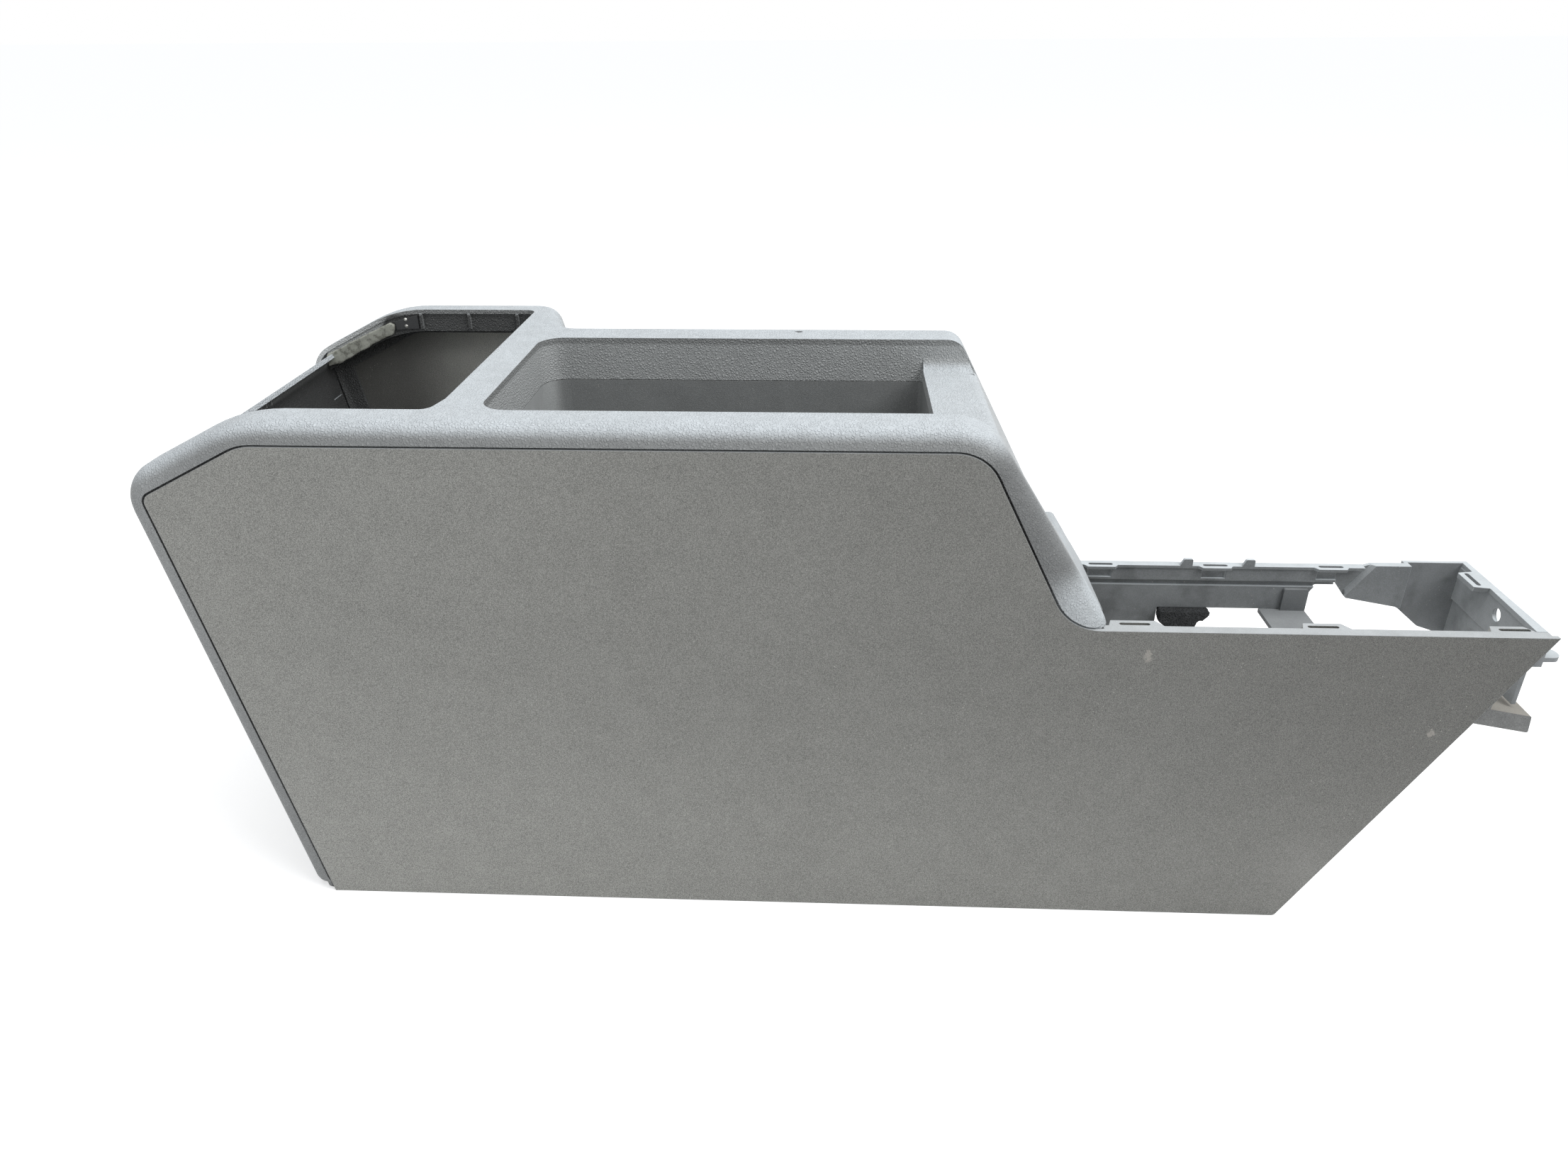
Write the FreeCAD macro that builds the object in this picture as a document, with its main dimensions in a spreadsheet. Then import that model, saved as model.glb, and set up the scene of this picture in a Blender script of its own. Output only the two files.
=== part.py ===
import FreeCAD, Part
import math
import os
from types import SimpleNamespace

import Sketcher
from FreeCAD import Placement, Rotation, Vector

# Centre console that stands over the tunnel of a van, stripped of its lid, its vents and its lever surround.
# Lengths are in millimetres and angles in degrees. X runs to the front of the vehicle from the rear-most
# point of the side profile, Y runs from the flat passenger side to the stepped driver side, Z runs up
# from the floor. The finished pieces are moved together, so that the origin is below their middle.

SIZES = {
    # Side profile of the rolled top cover
    "top_height": 323,
    "flange_height": 206,
    "rear_foot": 51.2,
    "rear_lean": 10.7,
    "rear_corner": 24.5,
    "slope_angle": 26.5,
    "slope_top": 69.4,
    "knee_radius": 92.5,
    "front_top": 470.5,
    "front_corner": 35,
    "face_corner": 13.5,
    "rail_angle": 57.4,
    "face_angle": 62.1,
    "tail_radius": 20,
    "foot_round": 9,
    # Plan of the cover, with the driver side stepping in for the brake lever
    "rear_width": 275.5,
    "bin_width": 210,
    "step_start": 185,
    "step_angle": 17.4,
    "step_round": 20,
    "step_hollow": 12,
    "near_rim": 24.5,
    "far_rear_rim": 24.5,
    "far_bin_rim": 35,
    # Walls, rolled edge and seam of the cover
    "roll_radius": 12.5,
    "cover_wall": 3,
    "lap_wall": 2,
    "lap_width": 8,
    "lap_overlap": 6,
    "seam_gap": 1.2,
    "seam_inset": 13.6,
    "seam_rear_corner": 6,
    "seam_knee": 30,
    "seam_front": 468.2,
    "seam_angle": 62.8,
    "seam_corner": 26,
    "seam_heel": 30,
    # Openings in the cover
    "divider_rear": 173,
    "divider_front": 196,
    "divider_cut_long": 4,
    "divider_cut_wide": 19,
    "opening_round": 7,
    "opening_set_back": 1.5,
    "bin_front": 447.3,
    "bin_corner": 16,
    "bin_front_corner": 3,
    "ledge_round": 8,
    "saddle_far_round": 9,
    "cove_inset": 1,
    "flange_depth": 13,
    "flange_wall": 2,
    "flange_start": 11.5,
    "snap_rib_first": 86.4,
    "snap_rib_pitch": 35.5,
    "snap_rib_wide": 2,
    "snap_rib_deep": 2.2,
    "snap_rib_tall": 11,
    # Passenger side panel and the open channel in front of the bin
    "panel_wall": 3,
    "beak": 788.2,
    "toe": 674,
    "toe_round": 3,
    "lip_start": 541.5,
    "lip_wide": 7,
    "lip_thick": 3,
    "near_boss_wide": 13,
    "near_boss_1_back": 14.8,
    "near_boss_1_ahead": 16.2,
    "near_boss_2_back": 12,
    "near_boss_2_ahead": 15,
    "near_boss_3_back": 13.8,
    "near_boss_3_ahead": 10.7,
    "boss_slant": 4,
    "boss_deep": 9,
    "near_slot_first": 559.8,
    "near_slot_long": 17.2,
    "near_slot_side": 9,
    "slot_wide": 2.6,
    "panel_rib_first": 120,
    "panel_rib_pitch": 110,
    "panel_rib_wide": 2,
    "panel_rib_deep": 6,
    "panel_rib_foot": 14,
    "driver_rib_rear": 88,
    "driver_rib_rear_pitch": 60,
    "driver_rib_bin": 285,
    "nib_height": 66,
    "nib_long": 15,
    "nib_proud": 1.8,
    # Driver side rail of the channel
    "channel_width": 90,
    "rail_band": 3.4,
    "rail_groove_wall": 1.6,
    "rail_web": 4.6,
    "rail_lip": 5.7,
    "rail_lip_thick": 1.8,
    "far_slot_first": 556.9,
    "far_slot_long": 15,
    "far_slot_side": 85.6,
    "far_boss_wide": 8.5,
    "far_boss_half": 10.5,
    "post_back": 22.3,
    "post_ahead": 15.7,
    "post_long": 8,
    "post_tall": 4.5,
    "post_thick": 2,
    # Front frame with the cross wall, its tongue and its fixing hole
    "frame_wall": 2.5,
    "wing_proud": 2.5,
    "wing_width": 96,
    "cross_thick": 4,
    "cross_near": 12.5,
    "cross_lip": 6,
    "cross_lip_far": 3.5,
    "fixing_hole": 8.2,
    "fixing_side": 47.3,
    "fixing_bore": 13,
    "fixing_skin": 1.2,
    "cross_boss_near": 59,
    "cross_boss_far": 82,
    "cross_slot_side": 71.2,
    "cross_slot_long": 16.3,
    "tongue_long": 10,
    "tongue_wide": 11,
    "tongue_thick": 2.8,
    # Foot bracket below the cross wall
    "foot_deep": 11.2,
    "foot_wide": 25,
    "foot_wall": 2.5,
    "foot_hole": 6.5,
    "foot_boss": 12,
    "foot_screw_pitch": 13,
    # Strap across the channel
    "strap_thick": 2.5,
    "strap_tab_tall": 15,
    # Plate on the foot of the front slope
    "apron_wall": 2.5,
    "apron_round": 4,
    "apron_notch_deep": 1.2,
    # Rear panel between the two rear legs
    "rear_inset": 5.6,
    "rear_wall": 3.1,
    "rear_lip": 1,
    "rear_notch": 10.8,
    "rear_notch_wide": 2.5,
    "rear_tooth_first": 139,
    "rear_tooth_pitch": 7,
    "rear_tooth_wide": 1.6,
    "rear_rib_pitch": 62,
    "rear_rib_deep": 6,
    "rear_rib_wide": 2,
    "rear_rib_foot": 12,
    # Storage tub under the bin opening
    "fit_gap": 0.3,
    "tub_wall": 2.5,
    "tub_depth": 96,
    "tub_draft": 0.8,
    "tub_foot_round": 3.8,
    "tub_ear_thick": 3,
    "tub_ear_wide": 16,
    "tub_ear_first": 235,
    "tub_ear_pitch": 170,
    "tub_near_screw": 12,
    "tub_far_screw": 190,
    # Self-tapping screws and the bosses that take them
    "screw_shank": 4,
    "screw_head": 8.5,
    "screw_head_tall": 2.6,
    "screw_long": 7,
    "screw_recess": 2.2,
    "screw_slack": 0.1,
    "screw_skin": 0.8,
    "boss_size": 9,
    # Felt strip, latch plate and foam pad
    "felt_start": 12,
    "felt_end": 65.5,
    "felt_thick": 4,
    "felt_top": 4.2,
    "felt_tall": 9.5,
    "felt_end_drop": 1.6,
    "latch_start": 67.5,
    "latch_end": 84.7,
    "latch_thick": 1.5,
    "rivet_at": 75.5,
    "rivet_head": 2.6,
    "rivet_tall": 0.8,
    "rivet_shank": 1.6,
    "foam_near": 80,
    "foam_far": 90,
    # Room that cutting shapes reach past what they cut
    "over": 25,
}

# Heights measured from the top of the cover, minus is below it
FROM_TOP = {
    "ledge_height": -20,
    "collar_bottom": -28,
    "panel_rib_top": -43,
    "latch_low": -15,
    "latch_rear_top": -9,
    "latch_front_top": -4,
    "rivet_low": -12.2,
    "rivet_high": -7.4,
    "rear_band_top": -68,
    "rear_rib_top": -83,
}

# Heights measured from the flange of the open channel, minus is below it
FROM_FLANGE = {
    "rail_bottom": -30.5,
    "rail_band_top": -14.6,
    "rail_groove_top": -10.5,
    "rail_deep_bottom": -56,
    "rail_end_low": -13.6,
    "rail_end_turn": -18.5,
    "wing_tongue_low": -12,
    "wing_low_rear": -22.5,
    "wing_step_high": -17.5,
    "wing_low_jog": -29,
    "wing_low_front": -45,
    "cross_step": -25,
    "cross_near_top": -20,
    "cross_bottom": -51,
    "gusset_bottom": -55,
    "fixing_height": -11.2,
    "tongue_top": -14,
    "foot_high": -48.2,
    "foot_low_tip": -54.8,
    "foot_ear_low": -54,
    "foot_ear_top": -28,
    "foot_screw_height": -36,
    "foam_low": -48,
    "apron_top": 33,
    "apron_notch_low": 12.8,
    "apron_notch_high": 21,
    "driver_rib_top": -6,
}

# Stations measured from the foremost tip of the passenger side panel, minus is behind it
FROM_BEAK = {
    "near_slot_last": -20,
    "far_slot_last": -90.1,
    "rail_front": -69.6,
    "rail_deep_end": -191.9,
    "rail_band_end": -100.5,
    "rail_web_end": -84.7,
    "wing_rear": -91.2,
    "wing_tongue_end": -83.8,
    "wing_corner": -75.6,
    "wing_top_rear": -70.7,
    "wing_start": -63.7,
    "wing_jog": -42.7,
    "wing_low_turn": -23.4,
    "cross_front": -2.9,
    "gusset_back": -44.2,
    "gusset_foot": -30.2,
    "gusset_head": -10.2,
    "cross_boss_back": -16.2,
    "cross_slot_at": -11.7,
    "foot_back": -32.2,
    "foot_tip": 3.8,
    "foot_hole_at": -17.2,
    "foot_ear_back": -44.2,
    "foot_ear_head": -18.2,
    "foot_screw_first": -37.7,
    "strap_start": -128.4,
    "strap_end": -100.5,
    "strap_tab_start": -115.7,
    "foam_start": -191.6,
    "foam_end": -159.5,
}

doc = FreeCAD.newDocument("tunnel_console")
parts = []


class Size:
    """A number worked out from the sheet, with the expression that binds a feature to it."""

    def __init__(self, value, text):
        self.value = float(value)
        self.text = text

    def __float__(self):
        return self.value

    def __add__(self, other):
        return combined(self, "+", other, self.value + float(other))

    def __radd__(self, other):
        return combined(other, "+", self, float(other) + self.value)

    def __sub__(self, other):
        return combined(self, "-", other, self.value - float(other))

    def __rsub__(self, other):
        return combined(other, "-", self, float(other) - self.value)

    def __mul__(self, other):
        return combined(self, "*", other, self.value * float(other))

    def __rmul__(self, other):
        return combined(other, "*", self, float(other) * self.value)

    def __truediv__(self, other):
        return combined(self, "/", other, self.value / float(other))

    def __rtruediv__(self, other):
        return combined(other, "/", self, float(other) / self.value)


def wording(value):
    """Gives the expression text of a size or of a plain number."""
    return value.text if isinstance(value, Size) else "(%s)" % repr(float(value))


def combined(left, sign, right, value):
    """Joins two sizes with an arithmetic sign."""
    return Size(value, "(%s %s %s)" % (wording(left), sign, wording(right)))


def tan(angle):
    """Tangent of an angle in degrees."""
    return Size(math.tan(math.radians(float(angle))), "tan(%s)" % wording(angle))


def cos(angle):
    """Cosine of an angle in degrees."""
    return Size(math.cos(math.radians(float(angle))), "cos(%s)" % wording(angle))


def sin(angle):
    """Sine of an angle in degrees."""
    return Size(math.sin(math.radians(float(angle))), "sin(%s)" % wording(angle))


def fill_sheet():
    """Writes the sizes to the spreadsheet and hands them back by name, each from the floor or the rear."""
    sheet = doc.addObject("Spreadsheet::Sheet", "Sizes")
    rows = {**SIZES, **FROM_TOP, **FROM_FLANGE, **FROM_BEAK}
    for row, (alias, value) in enumerate(rows.items(), start=1):
        sheet.set("A%d" % row, alias)
        sheet.set("B%d" % row, str(value))
        sheet.setAlias("B%d" % row, alias)
    doc.recompute()
    found = {alias: Size(getattr(sheet, alias), "Sizes." + alias) for alias in rows}
    for base, hung in (("top_height", FROM_TOP), ("flange_height", FROM_FLANGE), ("beak", FROM_BEAK)):
        for alias in hung:
            found[alias] = found[base] + found[alias]
    return SimpleNamespace(**found)


size = fill_sheet()


def bind(feature, path, value):
    """Ties a property to the sheet, or leaves it as set when the value is a plain number."""
    if isinstance(value, Size):
        feature.setExpression(path, value.text)


def checked(feature):
    """Recomputes and stops at the first feature that comes out wrong."""
    doc.recompute()
    if "Invalid" in feature.State or "Error" in feature.State:
        raise RuntimeError("%s did not compute: %s" % (feature.Label, feature.State))
    return feature


def new_body(label):
    """Starts an empty body."""
    body = doc.addObject("PartDesign::Body", label)
    body.Label = label
    return body


def sketch_on(body, role, away=0.0):
    """Attaches a sketch to one of the body's own origin planes, moved off it towards plus."""
    sketch = body.newObject("Sketcher::SketchObject", body.Label + "_sketch")
    plane = next(item for item in body.Origin.OriginFeatures if item.Role == role)
    sketch.AttachmentSupport = (plane, [""])
    sketch.MapMode = "FlatFace"
    shift = 0.0 - away if role == "XZ_Plane" else 0.0 + away
    sketch.AttachmentOffset = Placement(Vector(0, 0, float(shift)), Rotation())
    bind(sketch, "AttachmentOffset.Base.z", shift)
    return sketch


def fix_point(sketch, point, across, up):
    """Pins a point of the sketch to two sizes measured from the origin."""
    for kind, value in (("DistanceX", across), ("DistanceY", up)):
        index = sketch.addConstraint(Sketcher.Constraint(kind, -1, 1, point, 1, float(value)))
        bind(sketch, "Constraints[%d]" % index, value)


def corner_shape(before, here, after, radius):
    """Works out where a rounded corner starts and ends, its centre, and whether it turns left."""
    into = (before - here).normalize()
    out = (after - here).normalize()
    half = into.getAngle(out) / 2
    run = radius / math.tan(half)
    middle = (into + out).normalize()
    left = (here - before).cross(after - here).z > 0
    return SimpleNamespace(
        start=here + into * run,
        end=here + out * run,
        centre=here + middle * (radius / math.sin(half)),
        left=left,
    )


def draw_outline(sketch, corners):
    """Draws a closed outline through corners given as across, up and radius, all bound to the sheet."""
    points = [Vector(float(across), float(up), 0) for across, up, radius in corners]
    count = len(points)
    bends = []
    for index, (across, up, radius) in enumerate(corners):
        if float(radius) > 0:
            after = points[(index + 1) % count]
            bends.append(corner_shape(points[index - 1], points[index], after, float(radius)))
        else:
            bends.append(SimpleNamespace(start=points[index], end=points[index], centre=None, left=True))
    lines = []
    for index in range(count):
        segment = Part.LineSegment(bends[index].end, bends[(index + 1) % count].start)
        lines.append(sketch.addGeometry(segment, False))
    for index, (across, up, radius) in enumerate(corners):
        marker = sketch.addGeometry(Part.Point(points[index]), True)
        fix_point(sketch, marker, across, up)
        line_in, line_out = lines[index - 1], lines[index]
        bend = bends[index]
        if bend.centre is None:
            sketch.addConstraint(Sketcher.Constraint("Coincident", line_in, 2, marker, 1))
            sketch.addConstraint(Sketcher.Constraint("Coincident", line_out, 1, marker, 1))
            continue
        first, last = (bend.start, bend.end) if bend.left else (bend.end, bend.start)
        turns = [math.atan2(end.y - bend.centre.y, end.x - bend.centre.x) for end in (first, last)]
        if turns[1] < turns[0]:
            turns[1] += 2 * math.pi
        circle = Part.Circle(bend.centre, Vector(0, 0, 1), float(radius))
        arc = sketch.addGeometry(Part.ArcOfCircle(circle, turns[0], turns[1]), False)
        sketch.addConstraint(Sketcher.Constraint("PointOnObject", marker, 1, line_in))
        sketch.addConstraint(Sketcher.Constraint("PointOnObject", marker, 1, line_out))
        arc_in, arc_out = (1, 2) if bend.left else (2, 1)
        sketch.addConstraint(Sketcher.Constraint("Tangent", line_in, 2, arc, arc_in))
        sketch.addConstraint(Sketcher.Constraint("Tangent", line_out, 1, arc, arc_out))
        index_radius = sketch.addConstraint(Sketcher.Constraint("Radius", arc, float(radius)))
        bind(sketch, "Constraints[%d]" % index_radius, radius)


def draw_circle(sketch, across, up, diameter):
    """Draws a bound circle."""
    circle = Part.Circle(Vector(float(across), float(up), 0), Vector(0, 0, 1), float(diameter) / 2)
    index = sketch.addGeometry(circle, False)
    for kind, value in (("DistanceX", across), ("DistanceY", up)):
        place = sketch.addConstraint(Sketcher.Constraint(kind, -1, 1, index, 3, float(value)))
        bind(sketch, "Constraints[%d]" % place, value)
    width = sketch.addConstraint(Sketcher.Constraint("Diameter", index, float(diameter)))
    bind(sketch, "Constraints[%d]" % width, diameter)


def box_outline(left, right, low, high, radius=0.0):
    """Corners of a rectangle, all with one radius."""
    return [(left, low, radius), (right, low, radius), (right, high, radius), (left, high, radius)]


def pad(body, role, away, outlines, length, draft=0.0):
    """Adds material from a plane towards plus, over the length."""
    sketch = sketch_on(body, role, away)
    for corners in outlines:
        draw_outline(sketch, corners)
    feature = body.newObject("PartDesign::Pad", body.Label + "_pad")
    feature.Profile = sketch
    feature.Length = float(length)
    bind(feature, "Length", length)
    feature.Reversed = role == "XZ_Plane"
    if float(draft):
        feature.TaperAngle = float(draft)
        bind(feature, "TaperAngle", draft)
    return checked(feature)


def pocket(body, role, away, outlines, length, circles=(), draft=0.0):
    """Takes material away from a plane towards plus, over the length, and makes sure that it cut."""
    before = body.Shape.Volume
    sketch = sketch_on(body, role, away)
    for corners in outlines:
        draw_outline(sketch, corners)
    for across, up, diameter in circles:
        draw_circle(sketch, across, up, diameter)
    feature = body.newObject("PartDesign::Pocket", body.Label + "_pocket")
    feature.Profile = sketch
    feature.Length = float(length)
    bind(feature, "Length", length)
    feature.Reversed = role != "XZ_Plane"
    if float(draft):
        feature.TaperAngle = float(draft)
        bind(feature, "TaperAngle", draft)
    checked(feature)
    if not feature.Shape.Volume < before - 1e-6:
        raise RuntimeError("%s cut nothing" % feature.Label)
    return feature


def round_edges(body, wanted, radius):
    """Rounds the edges of the body's last shape that pass the test."""
    base = body.Tip
    names = ["Edge%d" % (n + 1) for n, edge in enumerate(base.Shape.Edges) if wanted(edge)]
    if not names:
        raise RuntimeError("%s has no such edge" % body.Label)
    feature = body.newObject("PartDesign::Fillet", body.Label + "_round")
    feature.Base = (base, names)
    feature.Refine = False
    feature.Radius = float(radius)
    bind(feature, "Radius", radius)
    return checked(feature)


def middle_of(edge):
    """The point halfway along an edge."""
    return edge.valueAt((edge.FirstParameter + edge.LastParameter) / 2)


def prism(label, role, away, corners, length):
    """A body that is one straight block of the outline."""
    body = new_body(label)
    pad(body, role, away, [corners], length)
    return body


def joined(label, *shapes):
    """Fuses shapes into one."""
    feature = doc.addObject("Part::MultiFuse", label)
    feature.Shapes = list(shapes)
    feature.Refine = True
    return checked(feature)


def less(label, base, *tools):
    """Cuts tools from a base."""
    tool = tools[0] if len(tools) == 1 else joined(label + "_tools", *tools)
    feature = doc.addObject("Part::Cut", label)
    feature.Base = base
    feature.Tool = tool
    feature.Refine = True
    return checked(feature)


def shared(label, first, second):
    """Keeps what two shapes share."""
    feature = doc.addObject("Part::Common", label)
    feature.Base = first
    feature.Tool = second
    feature.Refine = True
    return checked(feature)


def keep(feature, label):
    """Lists a finished piece under its own name."""
    feature.Label = label
    parts.append(feature)
    return feature


# Outlines that several pieces share


def rear_vertex(inset):
    """Where the leaning rear edge and the rear slope meet, for lines moved inwards."""
    foot = size.rear_foot + inset / cos(size.rear_lean)
    knee = size.slope_top + inset * tan(size.slope_angle / 2)
    rise = size.top_height - inset - (knee - foot) * tan(size.slope_angle)
    up = rise / (1 + tan(size.slope_angle) * tan(size.rear_lean))
    return foot - up * tan(size.rear_lean), up


def rear_half(inset, floor, foot_round):
    """Foot, rear corner and knee of the side profile, moved inwards."""
    foot = size.rear_foot + inset / cos(size.rear_lean)
    knee = size.slope_top + inset * tan(size.slope_angle / 2)
    across, up = rear_vertex(inset)
    return [
        (foot - floor * tan(size.rear_lean), floor, foot_round),
        (across, up, size.rear_corner - inset),
        (knee, size.top_height - inset, size.knee_radius - inset),
    ]


def slope_line(inset, across):
    """Height of the rear slope at a station, for the surface moved inwards."""
    knee = size.slope_top + inset * tan(size.slope_angle / 2)
    return size.top_height - inset - (knee - across) * tan(size.slope_angle)


def front_line(angle, up):
    """Station of the outer front line at a height."""
    return size.front_top + (size.top_height - up) / tan(angle)


def body_profile(inset, angle, corner, floor, foot_round):
    """Side profile of the cover with a front line at the given angle and corner, moved inwards."""
    top = size.top_height - inset
    shoulder = size.front_top - inset * tan(angle / 2)
    front = front_line(angle, size.flange_height) - inset
    heel = top - (front - shoulder) * tan(angle)
    return rear_half(inset, floor, foot_round) + [
        (shoulder, top, corner - inset),
        (front, heel, size.tail_radius - inset),
        (front, floor, 0.0),
    ]


def grown(radius, gap):
    """Radius of a seam's corner moved outwards by the gap, sharp where nothing of it would be left."""
    return radius + gap if float(radius) + float(gap) > 0.5 else 0.0


def seam_half(gap, floor):
    """Foot, rear corner and knee of the seam, moved outwards by the gap."""
    foot, corner, knee = rear_half(size.seam_inset - gap, floor, 0.0)
    return [
        foot,
        (corner[0], corner[1], grown(size.seam_rear_corner, gap)),
        (knee[0], knee[1], grown(size.seam_knee, gap)),
    ]


def near_seam(gap, floor, end):
    """Seam outline of the passenger side, moved outwards by the gap and closed below."""
    top = size.top_height - size.seam_inset + gap
    heel = size.flange_height + gap
    shoulder = size.seam_front + gap * tan(size.seam_angle / 2)
    return seam_half(gap, floor) + [
        (shoulder, top, size.seam_corner + gap),
        (shoulder + (top - heel) / tan(size.seam_angle), heel, size.seam_heel - gap),
    ] + end


def far_seam(gap, floor):
    """Seam outline of the driver side, moved outwards by the gap and run past the front."""
    inset = size.seam_inset - gap
    top = size.top_height - inset
    heel = size.flange_height + gap
    shoulder = size.front_top - inset * tan(size.face_angle / 2)
    ahead = front_line(size.face_angle, size.flange_height) + size.over
    return seam_half(gap, floor) + [
        (shoulder, top, 0.0),
        (shoulder + (top - heel) / tan(size.face_angle), heel, 0.0),
        (ahead, heel, 0.0),
        (ahead, floor, 0.0),
    ]


def far_zone_start():
    """Side from which the driver side panel starts, at the inner end of the rolled edge."""
    return size.bin_width - size.roll_radius


def closing_wall(gap, floor):
    """Outline of the upright wall below the front slope, which belongs to the driver side panel."""
    front = front_line(size.face_angle, size.flange_height)
    return box_outline(front - size.over, front + size.over, floor, size.flange_height + gap)


def far_rear_edge():
    """Inner edge of the driver side rim beside the rear opening."""
    return size.rear_width - size.far_rear_rim


def flange_face():
    """Side of the flange below the driver side rim, set back from the rim's edge."""
    return far_rear_edge() + size.opening_set_back


def far_bin_edge():
    """Inner edge of the driver side rim beside the bin."""
    return size.bin_width - size.far_bin_rim


def rear_opening(grow, behind):
    """Plan of the rear opening, open to the rear, grown on its three rims."""
    front = size.divider_rear + grow
    near = size.near_rim - grow
    far = far_rear_edge() + grow
    return [
        (behind, near, 0.0),
        (front - size.divider_cut_long, near, size.opening_round),
        (front, near + size.divider_cut_wide, size.opening_round),
        (front, far, size.opening_round + grow),
        (behind, far, 0.0),
    ]


def bin_opening(grow):
    """Plan of the bin opening, grown all round."""
    back = size.divider_front - grow
    front = size.bin_front + grow
    near = size.near_rim - grow
    far = far_bin_edge() + grow
    return [
        (back, near, size.bin_corner + grow),
        (front, near, size.bin_front_corner + grow),
        (front, far, size.bin_front_corner + grow),
        (back, far, size.bin_corner + grow),
    ]


# Solid forms that the cover and the driver side panel are cut from


def is_side(face, near, far):
    """Tells whether a face belongs to the upright passenger or driver side."""
    middle = face.CenterOfMass
    if near + 1 < middle.y < far - 1:
        return False
    if isinstance(face.Surface, Part.Cylinder):
        return abs(face.Surface.Axis.z) > 0.99
    normal = face.normalAt(*face.Surface.parameter(middle))
    return abs(normal.z) < 1e-6 and abs(normal.y) > 0.1


def roll_edge_test(shape, inset, floor):
    """Makes the test that finds the edges between a side and the profile surfaces."""
    near = float(inset)
    far = float(size.bin_width - inset)

    def wanted(edge):
        faces = shape.ancestorsOfType(edge, Part.Face)
        sides = sum(is_side(face, near, far) for face in faces)
        return sides == 1 and middle_of(edge).z > float(floor) + 1

    return wanted


def form(label, inset, floor, foot_round, drop=0.0):
    """The full outer form of the console, moved inwards, with rolled edges and the saddle notch."""
    body = new_body(label + "_block")
    near_rim = size.near_rim - inset
    near_profile = body_profile(inset, size.rail_angle, size.front_corner, floor, foot_round)
    pad(body, "XZ_Plane", inset, [near_profile], near_rim - inset)
    far_profile = body_profile(inset, size.face_angle, size.face_corner, floor, foot_round)
    pad(body, "XZ_Plane", near_rim, [far_profile], size.rear_width - size.near_rim)
    turn = 90 - size.step_angle
    shift = inset * tan(turn / 2)
    step_end = size.step_start + (size.rear_width - size.bin_width) * tan(size.step_angle)
    ahead = size.front_top + (size.top_height - floor)
    step = [
        (size.step_start - shift, size.rear_width - inset, 0.0),
        (step_end - shift, size.bin_width - inset, 0.0),
        (ahead, size.bin_width - inset, 0.0),
        (ahead, size.rear_width + size.over, 0.0),
        (size.step_start - shift, size.rear_width + size.over, 0.0),
    ]
    pocket(body, "XY_Plane", floor - size.over, [step], size.top_height - floor + 2 * size.over)
    for across, side, radius in (
        (step[0][0], step[0][1], size.step_round - inset),
        (step[1][0], step[1][1], size.step_hollow + inset),
    ):
        corner = Vector(float(across), float(side), 0)

        def upright(edge):
            middle = middle_of(edge)
            return math.hypot(middle.x - corner.x, middle.y - corner.y) < 0.01

        round_edges(body, upright, radius)
    cut_saddle(body, inset)
    roll = roll_edge_test(body.Shape, inset, floor)
    rolled = doc.addObject("Part::Fillet", label)
    rolled.Base = body
    radius = float(size.roll_radius - inset)
    edges = enumerate(body.Shape.Edges, start=1)
    rolled.Edges = [(number, radius, radius) for number, edge in edges if roll(edge)]
    rolled.Placement = Placement(Vector(0, 0, float(0.0 - drop)), Rotation())
    bind(rolled, "Placement.Base.z", 0.0 - drop)
    return checked(rolled)


def cut_saddle(body, inset):
    """Lowers the form between the rims in front of the bin, down to the ledge."""
    near = size.near_rim - inset
    far = far_bin_edge() + inset
    ledge = size.ledge_height - inset
    high = size.top_height + size.over
    notch = [
        (near, ledge, 0.0),
        (far, ledge, 0.0),
        (far, high, 0.0),
        (near, high, 0.0),
    ]
    start = size.bin_front - 2 * size.over
    pocket(body, "YZ_Plane", start, [notch], size.front_top + size.over - start)
    ledge_line = float(front_line(size.face_angle, size.ledge_height))

    def brow(edge):
        middle = middle_of(edge)
        flat = abs(middle.z - float(ledge)) < 0.01 and abs(middle.x - ledge_line) < float(inset) + 1
        return flat and abs(edge.tangentAt(edge.FirstParameter).y) > 0.99

    round_edges(body, brow, size.ledge_round - inset)


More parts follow.
